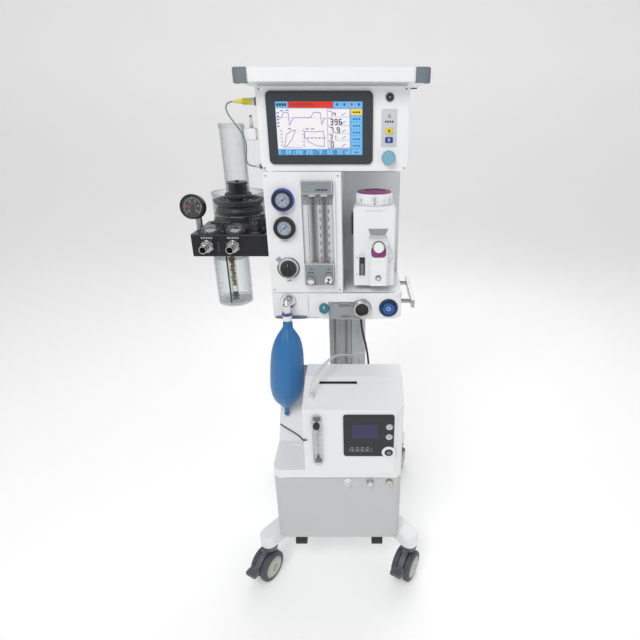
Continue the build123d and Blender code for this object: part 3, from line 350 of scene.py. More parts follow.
def slab(name, x, y, z, size, material, body="frame", edge=1.0):
    """A box of a size about a point, its edges rounded by a superellipse of high power.

    Each point is size/2 * sign(c) * abs(c) ** p for the sphere's three direction cosines.
    """
    edge = min(edge, 0.45 * min(size))
    u = np.linspace(-math.pi / 2, math.pi / 2, 33)[:, None]
    v = np.linspace(-math.pi, math.pi, 64, endpoint=False)[None, :]
    power = max(0.04, min(0.5, 2.2 * edge / min(size)))

    def soft(c):
        return np.sign(c) * np.abs(c) ** power
    shape = np.stack([soft(np.cos(u)) * soft(np.cos(v)), soft(np.cos(u)) * soft(np.sin(v)),
                      soft(np.sin(u)) * np.ones_like(v)], -1)
    points = row(shape * np.asarray(size, float) / 2 + np.array([x, y, z], float))
    return grid(name, points, material, body, wrap=True)


def tube(name, points, radius, material, body="frame", closed=False):
    """A round tube of a radius along a smooth line of points."""
    curve = bpy.data.curves.new(name, "CURVE")
    curve.dimensions = "3D"
    curve.bevel_depth = radius * MM
    curve.bevel_resolution = 4
    curve.use_fill_caps = True
    curve.resolution_u = 10
    line = curve.splines.new("NURBS")
    line.points.add(len(points) - 1)
    places = np.hstack([row(points), np.ones((len(points), 1))])
    line.points.foreach_set("co", places.ravel())
    line.order_u = 3
    line.use_cyclic_u = closed
    line.use_endpoint_u = not closed
    curve.materials.append(finishes[material])
    piece = bpy.data.objects.new(name, curve)
    bpy.context.scene.collection.objects.link(piece)
    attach(piece, body)
    return piece


# ------------------------------------------------------------------ print
SEGMENTS = {"0": "abcdef", "1": "bc", "2": "abged", "3": "abgcd", "4": "fgbc", "5": "afgcd",
            "6": "afgedc", "7": "abc", "8": "abcdefg", "9": "abfgcd", "-": "g"}
BARS = {"a": (0, 2, 1, 2), "b": (1, 1, 1, 2), "c": (1, 0, 1, 1), "d": (0, 0, 1, 0),
        "e": (0, 0, 0, 1), "f": (0, 1, 0, 2), "g": (0, 1, 1, 1)}
LIFT = 0.12


class Print:
    """Flat marks on one surface, gathered into one mesh. place(points, lift) gives their places."""

    def __init__(self, place):
        self.place = place
        self.points = []
        self.faces = []
        self.inks = []

    def shape(self, outline, ink, layer=1):
        """One filled outline, its corners in order."""
        start = sum(len(p) for p in self.points)
        outline = np.asarray(outline, float)
        self.points.append(self.place(outline, layer * LIFT))
        self.faces.append(tuple(range(start, start + len(outline))))
        self.inks.append(ink)

    def rect(self, x0, x1, y0, y1, ink, layer=1):
        """A filled rectangle between two X and two Y places."""
        self.shape([(x0, y0), (x1, y0), (x1, y1), (x0, y1)], ink, layer)

    def line(self, points, width, ink, layer=2):
        """Each run of a line as a thin strip of the given width."""
        points = np.asarray(points, float)
        for a, b in zip(points, points[1:]):
            along = (b - a) / max(np.hypot(*(b - a)), 1e-9)
            side = np.array([-along[1], along[0]]) * width / 2
            self.shape([a - side, b - side, b + side, a + side], ink, layer)

    def frame(self, x0, x1, y0, y1, width, ink, layer=2):
        """The four sides of a rectangle, drawn as a line."""
        self.line([(x0, y0), (x1, y0), (x1, y1), (x0, y1), (x0, y0)], width, ink, layer)

    def disc(self, x, y, radius, ink, layer=1):
        """A filled circle."""
        t = np.linspace(0, TURN, 40, endpoint=False)
        self.shape(np.stack([x + radius * np.cos(t), y + radius * np.sin(t)], -1), ink, layer)

    def arc(self, x, y, inner, outer, start, end, ink, layer=2):
        """A band between two radii, from one angle to another in degrees."""
        t = np.radians(np.linspace(start, end, 25))
        for a, b in zip(t, t[1:]):
            self.shape([(x + r * math.cos(q), y + r * math.sin(q))
                        for r, q in ((inner, a), (outer, a), (outer, b), (inner, b))], ink, layer)

    def ticks(self, x, y, radius, length, start, end, count, width, ink, layer=2):
        """Short radial marks spread evenly along an arc."""
        for angle in np.radians(np.linspace(start, end, count)):
            way = np.array([math.cos(angle), math.sin(angle)])
            self.line([way * (radius - length) + (x, y), way * radius + (x, y)], width, ink, layer)

    def digits(self, text, x, y, height, ink, layer=3, weight=0.13):
        """Numbers drawn with seven straight bars each, from the left end and the foot."""
        half, thick = height / 2, height * weight
        for letter in text:
            if letter == ".":
                self.rect(x, x + thick, y, y + thick, ink, layer)
                x += thick * 2.2
                continue
            for bar in SEGMENTS.get(letter, ""):
                x0, y0, x1, y1 = BARS[bar]
                self.line([(x + x0 * half, y + y0 * half), (x + x1 * half, y + y1 * half)],
                          thick, ink, layer)
            x += half + thick * 2.2

    def make(self, name, material, body="frame"):
        """Turn all that was drawn into one coloured piece on its body."""
        mesh = bpy.data.meshes.new(name)
        mesh.from_pydata(row(np.vstack(self.points)), [], self.faces)
        ink = mesh.color_attributes.new("ink", "FLOAT_COLOR", "CORNER")
        corners = np.repeat(np.array(self.inks, float), [len(f) for f in self.faces], axis=0)
        ink.data.foreach_set("color", corners.ravel())
        mesh.materials.append(finishes[material])
        piece = bpy.data.objects.new(name, mesh)
        bpy.context.scene.collection.objects.link(piece)
        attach(piece, body)
        return piece


def facing(y, x=0.0, z=0.0):
    """Marks on a plane that faces the user, with their own zero at (x, z)."""
    def place(points, lift):
        return np.stack([points[:, 0] + x, np.full(len(points), y - lift), points[:, 1] + z], -1)
    return place


def round_the(x, y, radius):
    """Marks round an upright drum: across is the distance round from the front, up is the height."""
    def place(points, lift):
        t = points[:, 0] / radius
        return np.stack([x + (radius + lift) * np.sin(t), y - (radius + lift) * np.cos(t),
                         points[:, 1]], -1)
    return place


INK_WHITE = rgb(0.85, 0.86, 0.87)
INK_BLACK = rgb(0.02, 0.02, 0.025)
INK_GREY = rgb(0.35, 0.37, 0.39)
INK_BLUE = rgb(0.03, 0.13, 0.42)
INK_RED = rgb(0.70, 0.04, 0.03)
INK_YELLOW = rgb(0.85, 0.62, 0.08)


# ------------------------------------------------------------------ cords
def cords():
    """Oxygen hose, the concentrator's power lead and the airway sensor's lead."""
    hose = [(-71, -178, 692), (-70, -172, 718), (-55, -142, 741), (-33, -102, 752), (-12, -62, 752),
            (9, -24, 738), (32, 14, 716), (52, 56, 690), (64, 104, 660), (68, 140, 618), (68, 150, 572),
            (68, 150.5, 532)]
    lead = [(70, 150, 836), (71, 149, 788), (77, 150, 732), (90, 153, 680), (98, 157, 624),
            (101, 158.5, 566), (104, 156, 508), (109, 150, 452), (110, 147, 402)]
    sensor = [(-265, 35, 1460), (-279, 34, 1458), (-285, 29, 1445), (-277, 20, 1428), (-261, 11, 1409),
              (-243, 8, 1385), (-233, 9, 1357), (-239, 18, 1329), (-243, 30, 1307), (-233, 35, 1297.5),
              (-217, 35.2, 1297)]
    for name, route, radius, length, material, stiffness in (
            ("oxygen_hose", hose, 4.5, 0.505, "hose_clear", "medium"),
            ("power_lead", lead, 3.75, 0.437, "black_rubber", "medium"),
            ("sensor_lead", sensor, 1.8, 0.218, "pad_grey", "limp")):
        piece = tube(name + "_shown", route, radius, material)
        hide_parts(name)


camera()
make_finishes()
cords()


# ------------------------------------------------------------------ monitor and tray
SCREEN_Y = -3.0


def screen_display():
    """Touch-screen page: alarm bar, four graphs, readings and rows of soft keys."""
    ui = Print(facing(SCREEN_Y, -149, 1329))
    wide, high, bar, foot = 226.0, 131.0, 114.0, 16.0
    paper, cell = rgb(0.80, 0.78, 0.80), rgb(0.16, 0.47, 0.78)
    ui.rect(0.5, wide - 0.5, 0.5, high - 0.5, rgb(0.10, 0.28, 0.60))
    ui.rect(1, 32, bar + 1, high - 1, cell, 2)
    ui.rect(34, 149, bar + 1, high - 1, rgb(0.72, 0.035, 0.012), 2)
    for spot in range(9):
        ui.rect(38 + 7 * spot, 43 + 7 * spot, bar + 5, high - 5, rgb(0.36, 0.03, 0.02), 3)
    for spot in range(4):
        ui.rect(4 + 6.6 * spot, 9 + 6.6 * spot, bar + 5, high - 5, INK_BLACK, 3)
        x = 151 + 18.6 * spot
        ui.rect(x, x + 17.6, bar + 1, high - 1, cell, 2)
        ui.disc(x + 9, bar + 9, 3.4, INK_BLUE if spot != 2 else INK_RED, 3)
    ui.rect(1, 193, foot, bar, paper, 2)
    trace, axis = rgb(0.16, 0.14, 0.42), rgb(0.30, 0.30, 0.42)
    steps = [(4, 92), (16, 92), (20, 104), (33, 104), (35, 74), (46, 92), (88, 92), (92, 94), (98, 104),
             (116, 104),
             (119, 76), (126, 90), (131, 91)]
    ui.line(steps, 1.4, trace, 4)
    ui.line([(4, 92), (131, 91)], 0.6, axis, 3)
    ui.line([(14, 19), (14, 66)], 0.9, axis, 3)
    ui.line([(14, 20), (66, 20)], 0.9, axis, 3)
    ui.line([(18, 20), (26, 52), (38, 60), (50, 62), (38, 38), (24, 22), (18, 20)], 1.3,
            rgb(0.20, 0.16, 0.16), 4)
    ui.line([(72, 19), (72, 66)], 0.9, axis, 3)
    ui.line([(72, 44), (130, 44)], 0.9, axis, 3)
    ui.line([(73, 44), (74, 59), (100, 58), (122, 60), (125, 44), (124, 22), (104, 24), (84, 33),
             (73, 44)], 1.3, trace, 4)
    for spot in range(5):
        ui.rect(3, 9, 70 + 8 * spot, 73 + 8 * spot, trace, 3)
        ui.rect(9, 13, 24 + 9 * spot, 25.6 + 9 * spot, axis, 3)
        ui.rect(67, 71, 24 + 9 * spot, 25.6 + 9 * spot, trace, 3)
        ui.rect(80 + 10 * spot, 84 + 10 * spot, 41.4, 43.4, trace, 3)
    for x, y in ((12, 107), (26, 108), (30, 64), (76, 64), (90, 64)):
        ui.rect(x, x + 9, y, y + 2.4, trace, 3)
    ui.frame(134, 192, foot + 1, bar - 1, 1.2, rgb(0.22, 0.20, 0.50), 3)
    for text, y, size in (("14", 96, 9), ("396", 76, 12), ("7.9", 56, 12), ("21", 40, 9), ("0", 21, 12)):
        ui.digits(text, 142, y, size, INK_BLACK, 3, 0.2)
        ui.rect(136, 146, y + size + 1, y + size + 3, INK_GREY, 3)
        ui.line([(135, y - 2.5), (191, y - 2.5)], 0.7, rgb(0.25, 0.22, 0.50), 3)
        ui.line([(171, y), (175, y + 4), (181, y + 7)], 1.3, INK_BLUE, 4)
    for key in range(6):
        y = bar - 16.2 * (key + 1)
        ui.rect(195, wide - 2, y, y + 15, INK_YELLOW if key == 0 else cell, 2)
        for mark in range(3):
            ui.rect(200 + 7 * mark, 205 + 7 * mark, y + 5, y + 9, INK_BLACK if key == 0 else INK_BLUE, 3)
    for key, text in enumerate(("50", "21", "10", "120", "20", "30", "5")):
        x = 2 + 27.4 * key
        ui.rect(x, x + 26, 1, foot - 1, cell, 2)
        ui.digits(text, x + 7, 2.5, 7, INK_BLACK, 3, 0.2)
        ui.rect(x + 7, x + 19, 11, 13, INK_BLUE, 3)
    ui.rect(195, wide - 2, 1, foot - 1, cell, 2)
    ui.rect(204, 214, 6, 9, INK_BLUE, 3)
    ui.make("screen_display", "screen_page")


def monitor_details():
    """Key label, key marks, socket, rotary knob, screws and parting line of the monitor."""
    keys = Print(facing(0.0, 146, 1287))
    keys.rect(-20, 20, 63, 154, rgb(0.60, 0.63, 0.66))
    keys.frame(-20, 20, 63, 154, 0.6, rgb(0.42, 0.45, 0.48))
    keys.shape([(-5, 134), (5, 134), (0, 144)], INK_BLACK, 2)
    keys.shape([(-3.4, 135), (3.4, 135), (0, 142)], rgb(0.60, 0.63, 0.66), 3)
    keys.rect(-0.5, 0.5, 137, 140, INK_BLACK, 4)
    for spot in range(4):
        keys.rect(-11 + 6 * spot, -7 + 6 * spot, 122, 127, INK_BLACK, 2)
    keys.make("key_label", "ink")
    for name, up in (("yellow_key", 102.5), ("blue_key", 80.0)):
        cap = Print(facing(-2.5, 146, 1287 + up))
        if name == "yellow_key":
            cap.shape([(-4, -3), (4, -3), (0, 4)], INK_BLACK)
            cap.line([(-5, 4), (5, -4)], 0.9, INK_RED, 2)
        else:
            cap.arc(0, 0, 2.6, 3.6, 0, 360, INK_WHITE)
            cap.rect(-0.5, 0.5, -1, 4.6, INK_WHITE, 3)
        cap.make(name + "_mark", "ink", name)
    lathe("socket_ring", [(0, 1), (5, 1), (5.6, 3.4), (9.6, 3.6), (10.8, 2), (10.9, 0)], (146, 0, 1469),
          FORWARD, "bezel_grey")
    lathe("socket_pin", rounded_profile(2.2, 3.2, 0.8), (146, 0, 1469), FORWARD, "chrome")
    disc = [(0, 17), (9, 17), (12.6, 18.6), (15, 18.6), (16.2, 16.4), (16.6, 2), (17.6, 1.2), (17.6, 0.4)]
    knob = lathe("encoder_cap", disc, (146, 0, 1322), FORWARD, "light_blue_plastic", "encoder_knob", 36,
                 0.035)
    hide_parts("encoder_knob")
    lathe("encoder_seat", [(17.9, 0), (20, 0), (20, 1.2), (17.9, 1.6)], (146, 0, 1322), FORWARD,
          "pale_grey")
    for x in (-188, 188):
        for z in (1296, 1488):
            screw("monitor_screw_%d_%d" % (x, z), (x, 0, z), FORWARD)
    seam("monitor_seam", LEFT + 24, RIGHT - 24, -0.2, MONITOR_Z + 0.5)


def screw(name, origin, axis, radius=2.6, body="frame", material="steel"):
    """A domed screw head with a hollow in its middle."""
    lathe(name, [(0, 0.5), (radius * 0.45, 0.5), (radius * 0.5, 1.3), (radius * 0.8, 1.2), (radius, 0.3),
                 (radius, -0.2)], origin, axis, material, body, count=18)


def seam(name, x0, x1, y, z, material="pad_grey", height=1.6):
    """A thin dark parting line across the front between two X places."""
    slab(name, (x0 + x1) / 2, y + 0.5, z, (x1 - x0, 1.6, height), material, edge=0.5)


def corner_pad(name, sign_x, sign_y):
    """A bumper round one corner of the tray: a rounded corner path carrying a C-shaped profile."""
    half_x, front, back, radius = 240.5, -50.0, 295.0, 20.0
    cx = sign_x * (half_x - radius)
    cy = (front + radius) if sign_y < 0 else (back - radius)
    t = np.linspace(0, math.pi / 2, 14)
    straight = 16.0
    px = np.concatenate([[-straight], radius * np.sin(t), [radius]])
    py = np.concatenate([[radius], radius * np.cos(t), [-straight]])
    path = np.stack([cx + sign_x * px, cy + sign_y * py], -1)
    nx = np.concatenate([[0], np.sin(t), [1]])
    ny = np.concatenate([[1], np.cos(t), [0]])
    normal = np.stack([sign_x * nx, sign_y * ny], -1)
    profile = np.array([(-13, 30), (-13, 30.8), (-11, 31.8), (0.5, 31.8), (2.2, 30), (2.6, 16),
                        (2.2, -2), (0.5, -3),
                        (-10, -3), (-11, -1.5), (-11, -0.5)], float)
    points = np.empty((len(path), len(profile), 3))
    points[..., :2] = path[:, None, :] + normal[:, None, :] * profile[None, :, 0:1]
    points[..., 2] = 1502 + profile[None, :, 1]
    grid(name, row(points), "pad_grey")


def tray_details():
    """Four corner bumpers and the ribbed mat of the top tray."""
    for sign_x in (-1, 1):
        for sign_y in (-1, 1):
            corner_pad("corner_pad_%s_%s" % ("left" if sign_x < 0 else "right",
                                             "front" if sign_y < 0 else "back"), sign_x, sign_y)
    slab("tray_mat", 0, 122, 1511, (452, 316, 2.4), "pale_grey", edge=0.8)
    for x in np.linspace(-200, 200, 17):
        slab("mat_rib_%d" % round(x), x, 122, 1512.6, (4, 300, 1.2), "pale_grey", edge=0.5)


# ------------------------------------------------------------------ instrument panel
def gauge_face(name, z, ring):
    """Dial, numbers, black inner bezel, coloured rim and lens of a pressure gauge."""
    dial = Print(facing(-10.2, -145, z))
    dial.disc(0, 0, 26.6, rgb(0.42, 0.48, 0.58))
    dial.arc(0, 0, 10.5, 11.5, -45, 225, INK_BLUE)
    dial.ticks(0, 0, 19, 3.2, -45, 225, 11, 0.9, INK_BLACK)
    dial.ticks(0, 0, 19, 1.8, -45, 225, 51, 0.35, INK_BLACK)
    for count, angle in enumerate(np.radians(np.linspace(225, -45, 6))):
        dial.digits(str(2 * count), 13 * math.cos(angle) - 1.4, 13 * math.sin(angle) - 1.6, 3.2,
                    INK_BLACK)
    dial.rect(-5, 5, -17, -14.5, INK_GREY, 3)
    dial.make(name + "_dial", "ink")
    bezel = [(19.6, 6.4), (20.4, 13.4), (22, 15.2), (26.2, 15.2), (27, 14)]
    lathe(name + "_bezel", bezel, (-145, 0, z), FORWARD, "dark_plastic")
    rim = [(26.6, 13), (27.2, 15.4), (29.4, 15.6), (30.6, 13.6), (30.8, 0.2), (32, -0.1)]
    lathe(name + "_rim", rim, (-145, 0, z), FORWARD, ring)
    lathe(name + "_lens", [(0, 12.6), (10, 12.4), (20.2, 11.8)], (-145, 0, z), FORWARD, "lens")
    pointer = Print(facing(-10.6, -145, z))
    way = np.array([math.cos(math.radians(218)), math.sin(math.radians(218))])
    side = np.array([-way[1], way[0]])
    pointer.shape([way * 15, side * 1.2 - way * 12, -side * 1.2 - way * 12], INK_BLACK, 4)
    pointer.disc(0, 0, 2.6, INK_BLACK, 5)
    pointer.make(name + "_pointer", "ink")
    plate = Print(facing(0.0, -145, z - 37))
    plate.frame(-11, 11, -3.4, 3.4, 0.6, INK_GREY)
    for spot in range(3):
        plate.rect(-7 + 5 * spot, -4 + 5 * spot, -1.4, 1.4, INK_GREY, 2)
    plate.make(name + "_plate", "ink")


def selector():
    """Gas selector: printed arcs round a black knob with a raised grip."""
    x, z = -141, BAY_Z + 78
    plate = Print(facing(0.0, x, z))
    plate.disc(0, 0, 33, rgb(0.42, 0.44, 0.46))
    plate.disc(0, 0, 29, rgb(0.62, 0.64, 0.66), 2)
    plate.arc(0, 0, 30, 34, 165, 240, rgb(0.03, 0.24, 0.06), 3)
    plate.arc(0, 0, 30, 33, -60, 75, INK_BLACK, 3)
    plate.shape([(-38, 26), (-26, 36), (-18, 27), (-29, 17)], rgb(0.42, 0.44, 0.46), 1)
    for spot in range(3):
        plate.rect(-6 + 4 * spot, -3.4 + 4 * spot, -41, -37, INK_BLACK, 2)
        plate.disc(-30 + 3 * spot, 24 + 2.4 * spot, 1, INK_BLACK, 3)
    plate.make("selector_plate", "ink")
    collar = [(24.2, 0), (28.4, 0.4), (28.6, 3), (27, 5), (24.4, 5)]
    lathe("selector_collar", collar, (x, 0, z), FORWARD, "pale_grey")
    body = [(0, 20), (17, 20.6), (21, 22), (22.6, 20), (23, 14), (23.6, 1)]
    knob = lathe("selector_cap", body, (x, 0, z), FORWARD, "dark_plastic", "selector_knob", 24, 0.04)
    slab("selector_grip", x, -21.4, z, (8, 4.8, 40), "dark_plastic", "selector_knob", edge=2)
    # The short grey mark on the grip is partly the knob's index line and partly a painted glint, so it is kept
    # short and grey.
    mark = Print(facing(-23.9, x, z))
    mark.rect(-0.8, 0.8, 11, 18, INK_GREY)
    mark.make("selector_mark_and_glint", "ink", "selector_knob")
    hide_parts("selector_knob")


def flowmeter():
    """Printed scales, floats, guard and knobs of the two-tube flowmeter."""
    x0, x1 = -92, -6
    slate, ink = rgb(0.26, 0.29, 0.31), rgb(0.12, 0.10, 0.13)
    head = Print(facing(-22.0, 0, BAY_Z))
    head.rect(x0 + 2, x1 - 2, 296, 328, slate)
    head.line([(-66, 322), (-60, 318), (-54, 322)], 0.7, INK_BLACK, 2)
    head.shape([(-63, 318), (-57, 318), (-60, 311)], INK_GREY, 2)
    for spot in range(5):
        head.rect(-50 + 6.4 * spot, -45.6 + 6.4 * spot, 303, 308, INK_BLACK, 2)
        head.rect(-84 + 4 * spot, -81.6 + 4 * spot, 304, 307, INK_GREY, 2)
    head.rect(x0 + 2, x1 - 2, 33, 95, slate)
    for x in (-73, -22):
        head.arc(x, 58, 13, 15, 50, 130, INK_BLACK)
        for spot in range(3):
            head.rect(x - 5 + 4 * spot, x - 2.4 + 4 * spot, 80, 83, INK_BLACK, 2)
    head.make("flow_print", "ink")
    back = Print(facing(-2.0, 0, BAY_Z))
    back.rect(x0 + 2, x1 - 2, 97, 294, rgb(0.86, 0.87, 0.90))
    back.rect(x0 + 2, x1 - 2, 262, 294, rgb(0.36, 0.39, 0.41), 2)
    back.make("flow_back", "ink")
    scale = Print(facing(-23.6, 0, BAY_Z))
    for x, dashed in ((-62, False), (-30, True)):
        for mark in range(41):
            y = 112 + 4.0 * mark
            long = 4.4 if mark % 5 == 0 else 2.4
            scale.rect(x - 9, x - 9 + long, y, y + 0.6, ink)
            if mark % 5 == 0:
                scale.digits(str(mark // 5), x + 5, y - 1.5, 3.2, ink, 2)
        for side in (-12.5, 11.0):
            for piece in range(8 if dashed else 1):
                y = 108 + 22.5 * piece
                tall = 11.5 if dashed else 168
                scale.rect(x + side, x + side + (2.8 if dashed else 1.6), y, y + tall, ink)
        thick = 2.8 if dashed else 1.6
        scale.line([(x - 12, 276), (x - 8.5, 282), (x + 8.5, 282), (x + 12, 276)], thick, ink)
        scale.line([(x - 12, 106), (x - 8.5, 101), (x + 8.5, 101), (x + 12, 106)], thick, ink)
    scale.make("flow_scale", "ink")
    slab("flow_guard", -49, -24.6, BAY_Z + 195.5, (86, 1.8, 196), "lens", edge=0.8)
    for side in (x0 - 3.5, x1 + 3.5):
        slab("guard_rail_%d" % side, side, -6, BAY_Z + 180, (6, 12, 304), "white_plastic", edge=2.4)
    for x in (-62, -30):
        lathe("float_%d" % x, [(0, 0), (4.6, 1), (5.4, 4), (5.4, 13), (4, 15), (0, 15.4)],
              (x, -12, BAY_Z + 99), UP,
              "red_paint", count=24)
        for z in (97, 288):
            lathe("tube_seat_%d_%d" % (x, z), [(9.2, 0), (10.6, 0), (10.6, 5), (9.2, 5)],
                  (x, -12, BAY_Z + z), UP,
                  "pale_grey", count=32)
    for name, x, flutes, material in (("flow_knob_left", -73, 12, "chrome"),
                                      ("flow_knob_right", -22, 24, "gauge_white")):
        shape = [(0, 22.4), (6.5, 22.4), (9.8, 21.6), (11.2, 19), (11.2, 4), (9.4, 2.4), (7, 1)]
        knob = lathe(name + "_cap", shape, (x, -22, BAY_Z + 52), FORWARD, material, name, flutes, 0.07)
        badge = Print(facing(-45.0, x, BAY_Z + 52))
        badge.disc(0, 0, 8.2 if material != "chrome" else 4.0, INK_WHITE)
        if material != "chrome":
            t = np.radians(np.linspace(0, 90, 9))
            for turn in range(0, 360, 180):
                q = t + math.radians(turn + 30)
                wedge = [(0.0, 0.0)] + [(8 * math.cos(a), 8 * math.sin(a)) for a in q]
                badge.shape(wedge, INK_BLACK, 2)
        badge.make(name + "_badge", "ink", name)
        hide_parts(name)


def panel_details():
    """Screws, gauges, selector and flowmeter on the instrument panel."""
    gauge_face("upper_gauge", 1212, "ring_blue")
    gauge_face("lower_gauge", 1134, "dark_plastic")
    selector()
    flowmeter()
    seam("panel_seam_low", LEFT + 1, RIGHT - 22, -0.2, BAY_Z)
    slab("panel_seam_side", 17.4, -0.2, 1111, (1.4, 1.2, 346), "pale_grey", edge=0.4)
    for x in (-188, 9):
        for z in (946, 1276):
            screw("panel_screw_%d_%d" % (x, z), (x, 0, z), FORWARD)


# ------------------------------------------------------------------ vaporizer
VAP_X, VAP_FRONT, VAP_TOP = 111.0, 14.0, 1189.0
DIAL_Y = 74.0


def vaporizer():
    """Ribbed dial with a purple crown, sight glass, filler and locking lever."""
    wall = [(40, 0.6), (52, 1), (53.6, 3), (54, 6), (54, 26), (52.4, 31), (49.6, 33)]
    dial = lathe("dial_drum", wall, (VAP_X, DIAL_Y, VAP_TOP), UP, "white_plastic", "vaporizer_dial", 40,
                 0.035)
    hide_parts("vaporizer_dial")
    crown = [(49.8, 32), (49, 35.4), (46, 36.4), (34, 36.4), (31, 34), (16, 33.4), (14, 35.6), (0, 35.8)]
    lathe("dial_crown", crown, (VAP_X, DIAL_Y, VAP_TOP), UP, "purple_plastic", "vaporizer_dial")
    band = Print(round_the(VAP_X, DIAL_Y, 54.3))
    for mark in range(11):
        x = -50 + 10 * mark
        band.rect(x - 0.3, x + 0.3, VAP_TOP + 3.6, VAP_TOP + 6.4, INK_BLACK, 2)
    band.arc(0, VAP_TOP + 19, 8.4, 9.2, 0, 360, INK_GREY, 6)
    band.shape([(-2.4, VAP_TOP + 9), (2.4, VAP_TOP + 9), (0, VAP_TOP + 5)], INK_BLACK, 6)
    band.digits("0", -2.5, VAP_TOP + 15, 8, INK_BLACK, 6)
    band.digits("5", -44, VAP_TOP + 12, 7, INK_BLACK, 6)
    band.digits("1", 24, VAP_TOP + 12, 7, INK_BLACK, 6)
    band.digits("2", 46, VAP_TOP + 12, 7, INK_BLACK, 6)
    band.make("dial_numbers", "ink", "vaporizer_dial")
    lathe("dial_ring", [(54.8, -2), (55.6, 0), (55.2, 1.4), (40, 1.4)], (VAP_X, DIAL_Y, VAP_TOP), UP,
          "pale_grey")
    front = Print(facing(VAP_FRONT, 0, 0))
    front.shape([(93, 1128), (151, 1128), (143, 1108), (99, 1108)], rgb(0.33, 0.34, 0.35))
    front.shape([(94, 1108), (149, 1108), (149, 1097), (94, 1097)], rgb(0.60, 0.61, 0.62))
    front.line([(75.5, 1062), (66, 1047), (85, 1047), (75.5, 1062)], 0.8, INK_GREY)
    for x in (71, 75, 79):
        front.rect(x - 1, x + 1, 1050, 1052, INK_GREY)
    front.rect(58, 63, 1041, 1043, INK_BLACK)
    front.rect(58, 63, 990, 992, INK_BLACK)
    front.line([(74, 1183), (84, 1180), (138, 1180), (148, 1183)], 0.8, rgb(0.55, 0.56, 0.57))
    for spot in range(6):
        front.rect(89 + 8 * spot, 92 + 8 * spot, 1176, 1178, rgb(0.45, 0.46, 0.47))
    front.make("vaporizer_print", "ink")
    slab("recess_lip", 122, VAP_FRONT - 0.8, 1129, (60, 2.6, 2.4), "white_plastic", edge=1)
    window = Print(facing(VAP_FRONT - 0.4, 0, 0))
    window.rect(66, 85, 985, 1045, rgb(0.72, 0.73, 0.72))
    window.rect(67, 84, 987, 1043, rgb(0.022, 0.028, 0.034), 2)
    window.rect(70, 81, 988, 1024, rgb(0.09, 0.12, 0.14), 3)
    window.rect(72.5, 78.5, 989, 1022, rgb(0.20, 0.24, 0.26), 4)
    window.make("sight_window", "ink")
    slab("sight_sill", 75.5, VAP_FRONT - 1, 983, (22, 3.4, 3), "white_plastic", edge=1)
    slab("sight_lid", 75.5, VAP_FRONT, 1045, (22, 2, 2.4), "white_plastic", edge=0.8)
    slab("locking_lever", 47, 40, 1138, (6, 22, 66), "dark_plastic", edge=2.5)
    slab("filler_insert", 123, -15.8, 1067, (43, 3.4, 33), "purple_plastic", edge=1.5)
    slab("filler_brow", 123, -15.2, 1044, (44, 3, 10), "white_plastic", edge=1.4)
    cap = [(0, 15.4), (9, 15.4), (14.6, 14), (16, 11.6), (16, 2), (14, 1)]
    knob = lathe("filler_cap_shown", cap, (123, -15, BAY_Z + 146), FORWARD, "white_plastic",
                 "filler_cap", 22, 0.09)
    lathe("filler_cap_face", [(0, 16.2), (10.6, 16), (12, 15.2)], (123, -15, BAY_Z + 146), FORWARD,
          "white_plastic", "filler_cap")
    lathe("filler_ring", [(16.2, 2), (17.8, 2.4), (17.8, 4), (15, 5)], (123, -15, BAY_Z + 146), FORWARD,
          "dark_plastic")
    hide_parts("filler_cap")
    tube("filler_strap", [(139, -17, 1084), (151, -21, 1084), (162, -18, 1070), (165, -8, 1050),
                          (160, 2, 1034),
                          (152, 8, 1028)], 2.2, "clear")
    lathe("lock_screw", [(0, 3), (3, 3), (3.2, 4.2), (6.4, 4), (7, 0)], (123, -15, 988), FORWARD,
          "chrome")
    lathe("lock_screw_seat", [(7.2, 0), (8.4, 0), (8.4, 1.2), (7.2, 1.2)], (123, -15, 988), FORWARD,
          "dark_plastic")
    slab("bay_gasket", 107, 110, BAY_Z + 1.2, (176, 216, 2.4), "white_plastic", edge=0.8)


